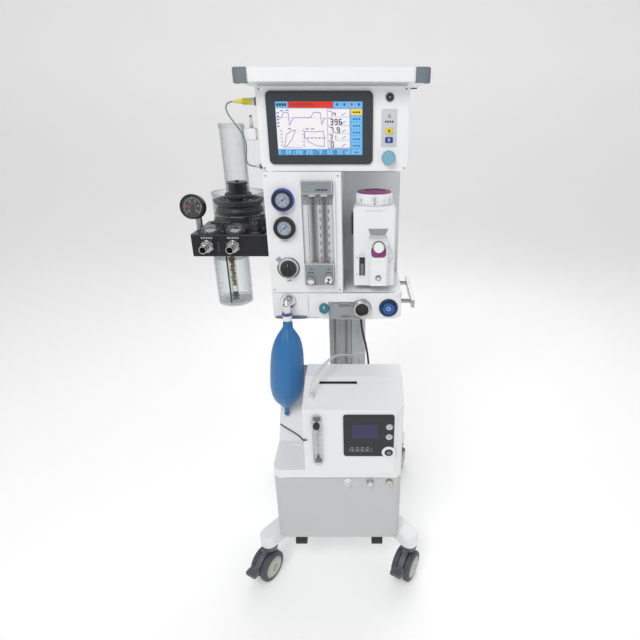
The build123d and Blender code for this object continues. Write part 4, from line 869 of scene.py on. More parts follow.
# ------------------------------------------------------------------ lower box
def control_details():
    """Raised control panel with its outlet switch, fresh-gas port and flush button."""
    z = BOX_Z + 40
    slab("control_panel", 54, -0.9, 891, (283, 3.2, 83), "white_paint", edge=1.5)
    face = Print(facing(-2.5, 0, 0))
    face.rect(-27, 72, 851, 908, rgb(0.32, 0.34, 0.35))
    face.line([(-22, 898), (-12, 902), (4, 902)], 0.9, INK_BLACK)
    face.line([(40, 902), (58, 902), (66, 897)], 0.9, INK_BLACK)
    face.frame(4, 40, 892, 905, 1.0, INK_BLACK)
    for spot in range(5):
        face.rect(8 + 6 * spot, 12 + 6 * spot, 895, 899, INK_BLACK, 3)
    face.frame(10, 38, 856, 864, 0.8, INK_BLACK)
    for spot in range(3):
        face.rect(15 + 7 * spot, 20 + 7 * spot, 858.5, 861.5, INK_BLACK, 3)
    face.line([(38, 859), (60, 859), (66, 865)], 0.9, INK_BLACK)
    face.make("control_print", "ink")
    teal = [(0, 19), (10, 19), (13.6, 17.6), (15.2, 14), (16, 3), (16.6, 1)]
    knob = lathe("acgo_cap", teal, (-40, 0, z), FORWARD, "teal_plastic", "acgo_knob", 16, 0.07)
    mark = Print(facing(-19.0, -40, z))
    mark.rect(-1.2, 1.2, 2, 12, INK_WHITE)
    mark.make("acgo_mark", "ink", "acgo_knob")
    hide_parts("acgo_knob")
    lathe("port_lip", [(20.4, 6), (20.6, 17), (22.6, 20.6), (25, 20.4), (27.2, 17), (27.4, 2)],
          (75, 0, z), FORWARD, "steel")
    # Painted shade: a dark disc just inside the lip stands for the unlit depth of the open outlet bore.
    lathe("aux_port_bore_shade", [(0, 6.6), (16, 6.6), (20.3, 7.4)], (75, 0, z), FORWARD, "dark_plastic")
    lathe("port_flange", [(27, 2), (29.4, 2), (29.4, 4), (27.2, 5)], (75, 0, z), FORWARD, "steel")
    button = [(0, 12.2), (10, 12.6), (15.6, 13.8), (18.6, 13.2), (19.8, 11), (19.8, 8)]
    cap = lathe("flush_cap", button, (156, 0, z), FORWARD, "blue_plastic", "flush_button")
    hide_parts("flush_button")
    word = Print(facing(-12.6, 156, z))
    word.arc(0, 0, 4.6, 6, 0, 360, INK_WHITE)
    word.make("flush_mark", "ink", "flush_button")
    collar = [(20.4, 0), (20.4, 9.4), (22, 10.6), (25.4, 10.2), (27.4, 7), (28, 0.4)]
    lathe("flush_guard", collar, (156, 0, z), FORWARD, "navy_plastic")
    lathe("flush_edge", [(27.6, 1), (29, 2), (28.8, 5), (27.4, 6.4)], (156, 0, z), FORWARD,
          "dark_plastic")
    lathe("flush_gap", [(19.9, 6), (20.9, 9.7)], (156, 0, z), FORWARD, "dark_plastic")
    slab("recess_strip", -142, -0.4, 856, (98, 1.6, 12), "pad_grey", edge=0.5)
    slab("box_step", -88.6, -0.6, 892, (1.2, 2.4, 80), "pale_grey", edge=0.5)
    for y in (59, 230):
        for x in (RIGHT, ):
            lathe("post_washer_%d" % y, [(8.2, 0), (12, 0), (12, 2), (8.2, 3)], (x, y, z), (1, 0, 0),
                  "steel")
            screw("rail_screw_%d" % y, (239, y, z), (1, 0, 0), 4.5)


# ------------------------------------------------------------------ breathing circuit
BELLOWS_X, BELLOWS_Y = -306.0, 152.0
CAN_X, CAN_Y = -337.0, 107.0


def circuit_print():
    """Port markings, port nuts, screws and the two breathing valves on the circuit block."""
    z = 1078
    marks = Print(facing(BLOCK_FRONT, 0, 0))
    for x in (-375, -299):
        for spot in range(5):
            marks.rect(x - 17 + 7 * spot, x - 12 + 7 * spot, 1099, 1103.6, rgb(0.45, 0.46, 0.47))
        marks.line([(x - 14, 1095), (x + 14, 1095)], 0.5, INK_GREY)
    for spot in range(6):
        marks.rect(-344, -343, 1060 + 5 * spot, 1063 + 5 * spot, INK_GREY)
        marks.rect(-321, -320, 1060 + 5 * spot, 1063 + 5 * spot, INK_GREY)
    marks.make("circuit_print", "ink")
    for x in (-375, -299):
        nut = [(13.4, 0), (19, 0), (19, 8), (17, 9.5), (13.4, 9.5)]
        lathe("port_nut_%d" % x, nut, (x, BLOCK_FRONT, z), FORWARD, "nickel", flutes=6, depth=0.09,
              count=60)
        # Painted shade: a dark disc in each port stands for the unlit depth of its open bore.
        lathe("circuit_port_bore_shade_%d" % x, [(0, 6), (8.9, 6)], (x, BLOCK_FRONT, z), FORWARD, "dark_plastic")
    for x in (-412, -204):
        for y in (22, 192):
            screw("block_screw_%d_%d" % (x, y), (x, y, BLOCK_TOP), UP, 4.2)
    for x in (-370, -297):
        ring = [(23, 0), (26.6, 0.4), (27.4, 2), (27.4, 9.6), (26, 12.4), (22.4, 12.8)]
        lathe("dome_ring_%d" % x, ring, (x, 40, BLOCK_TOP), UP, "clear", flutes=40, depth=0.045)
        lathe("valve_seat_%d" % x, [(12, 0.2), (15, 0.2), (15, 5), (12, 5)], (x, 40, BLOCK_TOP), UP,
              "chrome")
        lathe("valve_disc_%d" % x, [(0, 5.2), (16, 5.2), (16, 6.6), (0, 6.6)], (x, 40, BLOCK_TOP), UP,
              "gauge_white")
        for turn in range(3):
            a = TURN * turn / 3 + 0.5
            tube("valve_cage_%d_%d" % (x, turn), [(x + 15 * math.cos(a), 40 + 15 * math.sin(a),
                                                   BLOCK_TOP + 3),
                 (x + 15 * math.cos(a), 40 + 15 * math.sin(a), BLOCK_TOP + 12),
                 (x + 8 * math.cos(a), 40 + 8 * math.sin(a), BLOCK_TOP + 16)], 1.0, "chrome")


def manometer():
    """Black dial with white marks, leaning back on its post."""
    lean = math.radians(12)
    side, up = np.array([1, 0, 0]), np.array([0, math.sin(lean), math.cos(lean)])
    out = np.array([0, -math.cos(lean), math.sin(lean)])
    centre = np.array([-412, 42, 1185])

    def place(points, lift):
        return centre + points[:, :1] * side + points[:, 1:2] * up + (5.0 + lift) * out
    dial = Print(place)
    dial.disc(0, 0, 31, INK_BLACK)
    dial.ticks(0, 0, 27, 4, -45, 225, 7, 1.0, INK_WHITE)
    dial.ticks(0, 0, 24, 1.4, -45, 225, 31, 0.35, INK_WHITE)
    dial.arc(0, 0, 24, 24.7, -45, 225, rgb(0.45, 0.47, 0.5))
    dial.arc(0, 0, 10, 10.5, -45, 225, INK_GREY)
    for count, angle in enumerate(np.radians(np.linspace(225, -45, 6))):
        text = str(20 * count - 20)
        dial.digits(text, 17 * math.cos(angle) - 1.1 * len(text), 17 * math.sin(angle) - 1.7, 3.2,
                    INK_WHITE)
    dial.rect(-6, 6, -16, -13, INK_WHITE)
    dial.make("manometer_dial", "ink")
    rim = [(31.2, 5), (31.4, 12.4), (32.8, 13.6), (34.4, 12.6), (35, 9), (35, -8), (33, -10.6),
           (0, -10.8)]
    lathe("manometer_rim", rim, centre, out, "black_metal")
    lathe("manometer_lens", [(0, 11.6), (18, 11.2), (31.4, 10.4)], centre, out, "lens")
    lathe("manometer_sleeve", [(9, 0), (10.4, 0.4), (10.4, 8), (9, 9), (9, 46), (8.6, 50)],
          (-410, 70, BLOCK_TOP), UP, "steel")
    lathe("needle_boss", [(0, 8.6), (3, 8.4), (4.2, 7)], centre, out, "dark_plastic",
          "manometer_needle", count=24)


def canister():
    """Inside the clear canister: screens, centre rod, and what is left of the absorbent."""
    bottom = 868.0
    for z in (bottom + 12, bottom + 150):
        plate = [(12.6, 0), (51, 0), (51, 2.6), (12.6, 2.6)]
        lathe("can_screen_%d" % z, plate, (CAN_X, CAN_Y, z), UP, "clear", flutes=30, depth=0.03)
    lathe("can_collar", [(54, 166), (58.4, 167), (59.6, 170), (59.6, 177), (50, 177)],
          (CAN_X, CAN_Y, bottom), UP,
          "clear", flutes=36, depth=0.03)
    lathe("can_foot", [(0, -0.2), (22, -0.2), (26, 3.4), (46, 3.6), (52, 5)], (CAN_X, CAN_Y, bottom),
          UP, "clear")
    spread = np.linspace(0, 1, 90)
    t = TURN * np.linspace(0, 1, 12, endpoint=False)
    radius = 5.6 + 1.5 * np.sin(spread * TURN * 8) + 0.6 * np.sin(spread * TURN * 25)
    radius[[0, -1]] = 0
    spine = np.stack([CAN_X + 10 + 1.2 * np.sin(spread * 20), CAN_Y - 34 + 0 * spread,
                      bottom + 66 + 96 * spread], -1)
    ring = np.stack([np.cos(t), np.sin(t), 0 * t], -1)
    points = spine[:, None, :] + radius[:, None, None] * ring[None]
    grid("absorbent_strip", row(points), "granules", wrap=True)
    lathe("can_rod", [(0, 0), (2.6, 0), (2.6, 168), (0, 168)], (CAN_X - 7, CAN_Y - 30, bottom + 6), UP,
          "dark_plastic",
          count=16)
    scale = Print(round_the(CAN_X, CAN_Y, 55.4))
    for mark in range(9):
        scale.rect(-34, -24 if mark % 2 else -18, 890 + 16 * mark, 891 + 16 * mark, INK_WHITE)
    scale.make("can_scale", "ink")


def bellows_stack():
    """Folded rubber bellows, the knob on their top disc, and the parts round them."""
    floor = 1133.0
    z0 = floor + 68
    folds, pitch = 6, 6.0
    t = np.linspace(0, 1, folds * 12 + 1)
    radius = 27.5 + 3.4 * np.cos(t * folds * TURN + math.pi)
    profile = np.stack([radius, t * folds * pitch], -1)
    rubber = lathe("bellows_rubber", profile, (BELLOWS_X, BELLOWS_Y, z0), UP, "black_rubber", None)
    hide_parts("bellows")
    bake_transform(rubber)
    lathe("disc_knob", [(0, 9), (5, 8.4), (6.4, 6), (5, 4), (14, 4.2), (15, 3.8)],
          (BELLOWS_X, BELLOWS_Y, z0 + folds * pitch), UP, "dark_plastic", "bellows_disc")
    lathe("chamber_seat", [(36.2, -6), (40, -6), (41, -3), (41, 5), (39, 7), (36.2, 7)],
          (BELLOWS_X, BELLOWS_Y, z0),
          UP, "dark_plastic", flutes=24, depth=0.05)
    lathe("chamber_cap", [(36.2, 192), (38, 192), (38.6, 194), (38.6, 203), (36, 206), (12, 206.4),
                          (9, 204.6), (0, 204.6)],
          (BELLOWS_X, BELLOWS_Y, z0 - 2), UP, "clear")
    tube("chamber_rod", [(BELLOWS_X + 33, BELLOWS_Y - 8, z0 + 60),
                         (BELLOWS_X + 33, BELLOWS_Y - 8, z0 + 120),
                         (BELLOWS_X + 33, BELLOWS_Y - 8, z0 + 190)], 0.9, "steel")
    lathe("cup_lip", [(79.8, 74), (82, 75), (82.4, 77.4), (80.6, 79.4), (76.6, 79), (76.4, 75)],
          (BELLOWS_X, BELLOWS_Y, floor), UP, "clear")
    lid = [(28, 47), (50, 45.4), (64, 40), (71, 32), (73, 25), (70, 22), (66, 20), (70, 17), (75, 14),
           (75.6, 1)]
    lathe("plate_lid", lid, (BELLOWS_X, BELLOWS_Y, floor), UP, "dark_plastic", flutes=12, depth=0.015,
          count=72)
    lathe("plate_bright_ring", [(75.8, 12), (77.4, 12.6), (77.8, 15.4), (75.6, 16.4)],
          (BELLOWS_X, BELLOWS_Y, floor),
          UP, "steel")
    lathe("plate_ring", [(58, 50), (73, 50.4), (77, 52), (77, 56), (72, 58.6), (60, 58)],
          (BELLOWS_X, BELLOWS_Y, floor), UP, "black_rubber", flutes=60, depth=0.02)
    for turn in range(4):
        a = TURN * turn / 4 + 0.6
        x, y = BELLOWS_X + 52 * math.cos(a), BELLOWS_Y + 52 * math.sin(a)
        lathe("plate_nut_%d" % turn, [(0, 14), (5, 13.4), (7, 11), (7, 0)], (x, y, floor + 50), UP,
              "dark_plastic",
              flutes=10, depth=0.1, count=40)
    scale = Print(round_the(BELLOWS_X, BELLOWS_Y, 36.3))
    for mark in range(15):
        scale.rect(14, 24 if mark % 5 == 0 else 19, z0 + 46 + 10 * mark, z0 + 46.7 + 10 * mark, INK_GREY)
    for count in range(3):
        scale.digits(str(1 + count), 26, z0 + 44 + 50 * count, 6, INK_GREY)
    scale.make("chamber_scale", "ink")


def circuit_knobs():
    """Relief valve knob, lever ends and the bracket behind the circuit block."""
    relief = [(0, 42.4), (9, 42.4), (14.6, 41), (16.6, 38), (16.9, 20), (15.4, 18), (16.9, 16),
              (16.9, 2), (15, 0.6)]
    knob = lathe("relief_cap", relief, (-239, 45, BLOCK_TOP), UP, "dark_plastic", "apl_knob", 20, 0.06)
    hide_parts("apl_knob")
    marks = Print(round_the(-239, 45, 17.4))
    for count, x in enumerate((-14, -4, 6)):
        marks.rect(x, x + 0.7, BLOCK_TOP + 24, BLOCK_TOP + 28, INK_GREY)
        marks.digits(str(10 * (count + 1)), x, BLOCK_TOP + 30, 2.8, INK_GREY)
    marks.make("relief_marks", "ink", "apl_knob")
    lathe("relief_seat", [(17, 0), (20, 0), (20, 2), (17.4, 2.4)], (-239, 45, BLOCK_TOP), UP, "steel")
    lathe("lever_boss", [(5.2, 10), (7, 9), (9.6, 5), (10, 0)], (-333.5, 38, BLOCK_TOP), UP,
          "dark_plastic")
    for side in (-1, 1):
        lathe("lever_end_%d" % side, [(0, 4), (3.6, 3), (5.4, 0), (3.6, -3), (0, -4)],
              (-333.5 + side * 27, 38, BLOCK_TOP + 29), (1, 0,
                                                         0), "dark_plastic", "circuit_lever", count=20)
    slab("circuit_bracket", -196, 107, 1078, (9, 150, 52), "black_metal", edge=2)
    lathe("side_knob", [(0, 16), (5, 15.4), (7, 13), (7, 2), (5, 0)], (-214, 40, BLOCK_TOP), UP,
          "dark_plastic",
          flutes=10, depth=0.1)


# ------------------------------------------------------------------ bag and sensor
def breathing_bag():
    """Rubber bag: a turned outline whose belly is drawn in by soft lengthwise creases.

    The radius at height share s and angle t is outline(s) * (1 + lobes) with lobes of two, three and
    five waves round, strongest near the neck and the tail, and the centre line bows a little.
    """
    knots = np.array([(862, 12.4), (852, 13), (840, 14.5), (824, 25), (806, 36), (782, 44.5), (752, 50),
                      (710, 52.6),
                      (670, 53.4), (636, 53), (610, 48.4), (588, 39), (570, 26), (558, 14), (550, 8.6),
                      (538, 7.4),
                      (523, 7.2)])
    s = np.linspace(0, 1, 120)
    z = 862 + (523 - 862) * s
    r = np.interp(-z, -knots[:, 0], knots[:, 1])
    kernel = np.hanning(9) / np.hanning(9).sum()
    r = np.convolve(np.pad(r, 4, mode="edge"), kernel, "valid")
    t = np.linspace(0, TURN, 96, endpoint=False)[None, :]
    fold = (np.exp(-((s - 0.13) / 0.09) ** 2) + 0.9 * np.exp(-((s - 0.84) / 0.08) ** 2))[:, None]
    belly = np.sin(math.pi * s)[:, None]
    lobes = (fold * (0.035 * np.cos(5 * t + 0.6) + 0.025 * np.cos(9 * t)) - 0.012 * belly
             + 0.012 * belly * np.cos(2 * t + 0.4) + 0.006 * belly * np.cos(3 * t + 2 * s[:, None] * 3))
    radius = r[:, None] * (1 + lobes)
    bow = (-math.tan(math.radians(4)) * (862 - z))[:, None]
    points = np.stack([-149 + bow + radius * np.cos(t), -38 + radius * np.sin(t),
                       np.broadcast_to(z[:, None], radius.shape)], -1)
    bag = grid("bag_shown", row(points), "bag_rubber", wrap=True)
    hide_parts("breathing_bag")
    for count, z0 in enumerate((858, 850)):
        lathe("bag_neck_band_%d" % count, [(13, 0), (15, 0.8), (15, 4), (13, 5)], (-149, -38, z0 - 8),
              UP, "bag_rubber")
    seam_line = np.stack([-149 + bow[:, 0] + (r * 1.0) * math.cos(-1.2), -38 + r * math.sin(-1.2), z],
                         -1)[6:-10:6]
    tube("bag_seam", seam_line, 0.8, "bag_rubber")
    lathe("bag_loop", [(7.4, 0), (8.6, 1.4), (8.6, 5), (7.4, 6.4)], (-172.4, -38, 525), UP, "bag_rubber")


def bag_arm_details():
    """Rings, collar and neck band of the bag arm."""
    z = BOX_Z + 62
    lathe("arm_flange", [(12, 6), (20, 6.4), (24, 4), (25, 0)], (-149, 0, z), FORWARD, "grey_plastic")
    lathe("arm_nut", [(12.2, 8), (15, 8), (15, 15), (12.2, 16)], (-149, 0, z), FORWARD, "chrome",
          flutes=18, depth=0.06)
    lathe("arm_collar", [(12.2, 0), (15.6, 0.6), (15.6, 9.4), (12.2, 10)], (-149, -38, 880), UP,
          "ring_blue",
          flutes=24, depth=0.04)
    lathe("arm_adapter", [(12.1, 0), (13.6, 1), (13.6, 15), (12.1, 16)], (-149, -38, 863), UP,
          "gauge_white")
    lathe("arm_plug", [(0, 16), (6, 15.4), (9, 12), (9, 0)], (-149, -38, z), UP, "chrome", flutes=16,
          depth=0.07)


def sensor_details():
    """Airway sensor body, its tap and the yellow plug on the monitor."""
    z = MONITOR_Z + 173
    cone = [(8.4, 16), (8.4, 22), (7.6, 24), (5.4, 50), (3.8, 64), (2.6, 67)]
    lathe("sensor_plug", cone, (LEFT, 35, z), (-1, 0, 0), "yellow_plastic")
    for ring in range(5):
        lathe("plug_grip_%d" % ring, [(7.8, 0), (8.6, 0.6), (8.4, 1.8), (7.6, 2.2)],
              (LEFT - 24 - 4 * ring, 35, z),
              (-1, 0, 0), "yellow_plastic", count=28)
    nut = [(8.8, 0), (11.6, 0), (11.6, 9), (10, 10.4), (9, 10.4)]
    lathe("sensor_nut", nut, (LEFT, 35, z), (-1, 0, 0), "pad_grey", flutes=8, depth=0.08)
    slab("sensor_case", LEFT - 25, 35, MONITOR_Z + 93, (27, 27, 31), "white_plastic", edge=3)
    ribs = [(5.6, 0), (6.2, 2), (5.2, 3), (5.8, 5), (4.8, 6), (5.4, 8), (4.4, 9), (5, 11), (4, 12),
            (4.4, 14), (3.4, 15),
            (3.4, 32), (0, 32)]
    lathe("sensor_boot", ribs, (LEFT - 25, 35, MONITOR_Z + 108), UP, "pad_grey", count=24)
    lathe("gland_nut", [(4.2, 4), (6.6, 4), (6.6, 10), (5, 12), (4, 12)], (LEFT, 35, MONITOR_Z + 10),
          (-1, 0, 0),
          "pad_grey", flutes=6, depth=0.1, count=30)


# ------------------------------------------------------------------ concentrator
def concentrator():
    """Panel, buttons, meter, outlets, strap and seams of the oxygen concentrator."""
    face = Print(facing(CONC_FRONT - 3.0, 0, COVER_Z))
    face.shape([(24, 89), (121, 89), (127, 92), (131, 104), (136, 114), (146, 121), (160, 123),
                (165, 127),
                (165, 229), (24, 229)], rgb(0.017, 0.019, 0.020))
    face.rect(46, 120, 150, 200, rgb(0.030, 0.030, 0.10), 2)
    face.frame(38, 104, 104, 113, 0.9, INK_GREY, 3)
    for spot in range(4):
        face.rect(44 + 14 * spot, 52 + 14 * spot, 107, 110, INK_GREY, 3)
        face.rect(42 + 15 * spot, 50 + 15 * spot, 117, 119, INK_GREY, 3)
    for up in (191, 156):
        face.arc(154, up, 9, 10, 0, 360, INK_WHITE)
    face.make("panel_print", "ink")
    for name, up, radius, material in (("button_upper", 191, 8, "pale_grey"),
                                       ("button_lower", 156, 8, "pale_grey"),
                                       ("power_button", 100, 12, "dark_plastic")):
        cap = [(0, 2.2), (radius * 0.6, 2.4), (radius * 0.86, 3), (radius, 1.6), (radius, -1.9)]
        shown = lathe(name + "_cap", cap, (154, CONC_FRONT - 3, COVER_Z + up), FORWARD, material, name)
        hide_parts(name)
        mark = Print(facing(CONC_FRONT - 5.6, 154, COVER_Z + up))
        if name == "power_button":
            mark.arc(0, 0, 3.6, 4.8, 120, 420, INK_WHITE)
            mark.rect(-0.6, 0.6, 1, 6, INK_WHITE)
        else:
            tip = 3 if name == "button_upper" else -3
            mark.shape([(-3, -tip * 0.7), (3, -tip * 0.7), (0, tip)] if tip > 0
                       else [(3, -tip * 0.7), (-3, -tip * 0.7), (0, tip)], INK_BLACK)
        mark.make(name + "_mark", "ink", name)
    lathe("switch_ring", [(12.6, 0), (12.8, 2), (20, 2), (21, 0)], (154, CONC_FRONT - 3, COVER_Z + 100),
          FORWARD,
          "white_plastic")
    bead = [(-76, 654), (-76, 560), (-76, 432), (-76, 431), (40, 431), (150, 431), (170, 433),
            (177, 445), (177, 560),
            (177, 654)]
    tube("face_bead", [(x, CONC_FRONT, z) for x, z in bead], 1.0, "white_plastic")
    meter = Print(facing(CONC_FRONT - 12.2, -54.5, COVER_Z))
    for mark in range(31):
        meter.rect(-12, -6 if mark % 5 == 0 else -9, 84 + 3.4 * mark, 84.7 + 3.4 * mark, INK_BLACK)
        if mark % 5 == 0:
            meter.digits(str(mark // 5), 6.5, 82.5 + 3.4 * mark, 4, INK_BLACK)
    meter.line([(-11, 170), (11, 170)], 1.4, INK_RED)
    meter.make("meter_scale", "ink")
    lathe("meter_float", [(0, 0), (3.4, 0), (3.4, 9), (0, 9.4)], (-54.5, CONC_FRONT - 6, COVER_Z + 80),
          UP, "dark_plastic",
          count=20)
    for up in (70, 220):
        slab("meter_foot_%d" % up, -54.5, CONC_FRONT - 4, COVER_Z + up, (20, 9, 10), "pad_grey", edge=2)
    knob = [(0, 15.6), (6, 15.6), (9.2, 14), (10, 11), (10, 3), (8.6, 1)]
    shown = lathe("meter_knob_cap", knob, (-54.5, CONC_FRONT - 12, COVER_Z + 206), FORWARD,
                  "dark_plastic", "meter_knob", 18, 0.08)
    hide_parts("meter_knob")
    x0, x1, x2 = 31.6, 100.0, 159.0
    lathe("drain_cap", [(0, 13.4), (6, 13.4), (9.4, 11), (10, 3), (12, 1), (12, 0)],
          (x0, CONC_FRONT, 402), FORWARD, "gauge_white",
          flutes=8, depth=0.06)
    lathe("outlet_knob", [(0, 13.8), (6, 13.6), (9, 11), (9, 3), (11, 1), (11, 0)],
          (x1, CONC_FRONT, 402), FORWARD, "steel",
          flutes=20, depth=0.07)
    lathe("outlet_nozzle", [(0, 13), (4, 14.4), (5, 14), (6.4, 11), (5, 10), (7, 7), (5.6, 6), (10, 5),
                            (10, 0)],
          (x2, CONC_FRONT, 402), FORWARD, "brass")
    labels = Print(facing(CONC_FRONT, 0, 0))
    for x in (x0, x1, x2):
        for spot in range(3):
            labels.rect(x - 8 + 6 * spot, x - 4 + 6 * spot, 384, 388, INK_GREY)
    labels.make("outlet_labels", "ink")
    slab("casing_seam_front", 0, CONC_FRONT + 0.4, COVER_Z, (336, 1.4, 2.2), "pad_grey", edge=0.5)
    for side in (CONC_LEFT, CONC_RIGHT):
        slab("casing_seam_%d" % side, side, -42, COVER_Z, (1.2, 290, 2.2), "pad_grey", edge=0.5)
    slab("handle_grip", 4, CONC_FRONT + 94.4, 690, (111, 11, 4), "pad_grey", edge=1.5)
    strap = [(-193, -54, 494), (-170, -92, 509), (-140, -142, 532), (-112, -190, 553), (-99, -216, 560),
             (-95, -222, 561), (-86, -222, 564)]
    tube("bottle_strap", strap, 2.2, "black_rubber")
    t = np.linspace(0, 1, 30)
    arch = np.stack([-145 + 44 * (2 * t - 1), -118 + 20 * np.sin(math.pi * t) ** 0.8, 448 + 0 * t], -1)
    tube("bottle_cradle", arch, 2.2, "white_plastic")
    lathe("hose_barb", [(7.4, -16), (8.6, -14), (8.6, -8), (5.6, -6), (6.4, -4), (5, -1), (6, 1),
                        (4.8, 4)], (-71, -178, 690), UP,
          "gauge_white", count=28)


def side_vents():
    """Louvres on both sides of the concentrator and of the cabinet."""
    for side, x in (("left", CONC_LEFT - 0.3), ("right", CONC_RIGHT + 0.3)):
        for count in range(9):
            slab("casing_vent_%s_%d" % (side, count), x, -40, 220 + 15 * count, (2, 150, 6),
                 "grey_plastic", edge=2)
    for count in range(8):
        slab("cabinet_vent_%d" % count, RIGHT + 0.2, 246, 990 + 14 * count, (1.6, 18, 5), "pale_grey",
             edge=1.5)
        slab("monitor_vent_%d" % count, RIGHT + 0.2, 150, 1360 + 12 * count, (1.6, 90, 4), "pale_grey",
             edge=1.5)


# ------------------------------------------------------------------ base and casters
def caster(name, x, y, heading, braked):
    """Hub discs, washers and a mudguard of one twin-wheel caster."""
    a = math.radians(heading)
    along, across = np.array([math.cos(a), math.sin(a), 0]), np.array([-math.sin(a), math.cos(a), 0])
    centre = np.array([x, y, 50]) + 22 * along
    wheels, fork = "caster_wheels_" + name, "caster_fork_" + name
    for count, side in enumerate((-1, 1)):
        place = centre + side * across * 31
        disc = [(0, 4.2), (7, 4), (9, 2.6), (12, 3.4), (26, 3.6), (33, 2.2), (36, -1.5)]
        lathe("hub_%s_%d" % (name, count), disc, place, side * across, "hub_cream", wheels)
        for spoke in range(5):
            b = TURN * spoke / 5
            spot = place + (along * math.cos(b) + np.array([0, 0,
                                                            1]) * math.sin(b)) * 19 + side * across * 3.3
            lathe("hub_stud_%s_%d_%d" % (name, count, spoke), [(0, 1.2), (2.6, 1), (3.2, 0)], spot,
                  side * across,
                  "grey_plastic", wheels, count=14)
        lathe("axle_cap_%s_%d" % (name, count), [(0, 3), (4, 2.6), (5.4, 0)],
              place + side * across * 3.6, side * across,
              "steel", wheels, count=20)
    t = np.linspace(math.radians(20), math.radians(165), 26)
    w = np.linspace(-1, 1, 13)
    shell = np.empty((len(t), len(w), 3))
    arc = 53.4 - 1.6 * np.abs(w) ** 4
    for_way = along[None, None, :] * (np.cos(t)[:, None, None] * arc[None, :, None])
    up_way = np.array([0, 0, 1.0]) * (np.sin(t)[:, None, None] * np.minimum(arc, 52.5)[None, :, None])
    shell = centre + for_way + up_way + across[None, None, :] * (9.4 * w)[None, :, None]
    guard = grid("mudguard_" + name, row(shell), "caster_plastic", fork)
    solid = guard.modifiers.new("wall", "SOLIDIFY")
    solid.thickness = 0.0016
    lathe("stem_collar_" + name, [(24.2, -22), (26, -20), (26, -4), (24, -1.5), (15, -1)], (x, y, 128),
          UP,
          "caster_plastic", fork)
    if braked:
        foot = centre + along * 68
        for rib in range(4):
            spot = foot + along * (5 * rib - 7) + np.array([0, 0, 81.6])
            spot[2] = 81.4
            tube("pedal_rib_%s_%d" % (name, rib), [spot - across * 15, spot, spot + across * 15], 0.9,
                 "tread",
                 "brake_pedal_" + name)


def base_details():
    """The four casters, the column foot and the screws of the base."""
    for name, x, y, heading, braked in (("front_left", -232, -200, 240, True),
                                        ("front_right", 232, -200, 240, True),
                                        ("rear_left", -232, 325, 250, False),
                                        ("rear_right", 232, 325, 250, False)):
        caster(name, x, y, heading, braked)
    slab("column_foot", 20, 208, 172, (150, 104, 8), "white_paint", edge=2)
    for x in (-48, 92):
        for y in (166, 250):
            screw("foot_bolt_%d_%d" % (x, y), (x, y, 176), UP, 5)
    slab("column_head", 22, 208, 844, (150, 100, 8), "white_paint", edge=2)
    for z in (300, 460, 640, 800):
        slab("duct_clip_%d" % z, 64, 203, z, (50.6, 72.6, 10), "pale_grey", edge=1.5)
    slab("hose_inlet_plate", 68, 168.6, 516, (30, 3, 44), "pale_grey", edge=1)


def rear_details():
    """Fan grille, louvres, sockets and plates on the back."""
    y = 263.0
    slab("rear_plate", 60, y + 0.6, 1120, (150, 1.6, 90), "pale_grey", edge=0.5)
    for count in range(9):
        radius = 6 + 5 * count
        if count % 2:
            tube("fan_ring_%d" % count, [(-110 + radius * math.cos(q), y + 2, 1010 + radius * math.sin(q))
                                         for q in np.linspace(0, TURN, 16,
                                                              endpoint=False)], 1.1, "steel", closed=True)
    for turn in range(4):
        a = TURN * turn / 4 + 0.785
        tube("fan_spoke_%d" % turn, [(-110, y + 2, 1010),
                                     (-110 + 26 * math.cos(a), y + 2.4, 1010 + 26 * math.sin(a)),
                                     (-110 + 54 * math.cos(a), y + 1.4,
                                      1010 + 54 * math.sin(a))], 1.2, "steel")
        screw("fan_screw_%d" % turn, (-110 + 56 * math.cos(a), y, 1010 + 56 * math.sin(a)), (0, 1, 0),
              3.4)
    lathe("fan_well", [(0, 0.6), (48, 0.6), (50, 1.6), (52, 0)], (-110, y, 1010), (0, 1, 0),
          "dark_plastic")
    for x in (-184, 184):
        for z in (862, 1060, 1272):
            screw("rear_screw_%d_%d" % (x, z), (x, y, z), (0, 1, 0), 3.2)
    for count, x in enumerate((-20, 20, 60)):
        lathe("gas_inlet_%d" % count, [(0, 24), (4, 24), (6, 22), (6, 10), (11, 9), (11, 0), (15, 0),
                                       (15, -1)],
              (x, y, 900), (0, 1, 0), ("green_paint", "chrome",
                                       "brass")[count], flutes=6, depth=0.06, count=60)
    slab("mains_switch", -95, y + 2, 888, (22, 5, 30), "dark_plastic", edge=2)
    slab("conc_rear_vent", -40, 133.6, 300, (200, 2, 150), "grey_plastic", edge=1)
    for count in range(11):
        slab("conc_louvre_%d" % count, -40, 134.4, 240 + 12 * count, (180, 3, 5), "pad_grey", edge=1.5)


NODE_FINISHES = {
    "white_paint": ("base_frame", "cabinet", "rear_cover", "vaporizer_body"),
    "white_plastic": ("monitor_housing", "top_tray", "concentrator_cover"),
    "aluminium": ("inner_machinery",),
    "column_and_duct": ("column",),
    "bezel_grey": ("monitor_bezel",),
    "lcd_glass": ("screen",),
    "yellow_plastic": ("yellow_key",),
    "ring_blue": ("blue_key",),
    "dark_plastic": ("pressure_gauges", "circuit_lever", "concentrator_panel", "bellows_disc"),
    "grey_plastic": ("flow_block",),
    "pale_grey": ("sensor_set", "cord_fittings"),
    "lens": ("flow_tubes",),
    "clear": ("clear_domes", "absorber_canister", "concentrator_meter"),
    "steel": ("side_rail",),
    "chrome": ("chrome_ports", "bag_arm"),
    "black_metal": ("circuit_block", "manometer"),
    "ring_and_plate": ("bellows_base",),
    "red_paint": ("manometer_needle",),
    "casing_and_feet": ("concentrator_base",),
}


def paint_nodes():
    """Give each solid of the machine its finish."""
    chosen = {node: key for key, nodes in NODE_FINISHES.items() for node in nodes}
    for name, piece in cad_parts.items():
        key = chosen.get(name)
        if name.startswith("caster_wheels"):
            key = "tread"
        elif name.startswith(("caster_fork", "brake_pedal")):
            key = "caster_plastic"
        if key:
            piece.data.materials.clear()
            piece.data.materials.append(finishes[key])


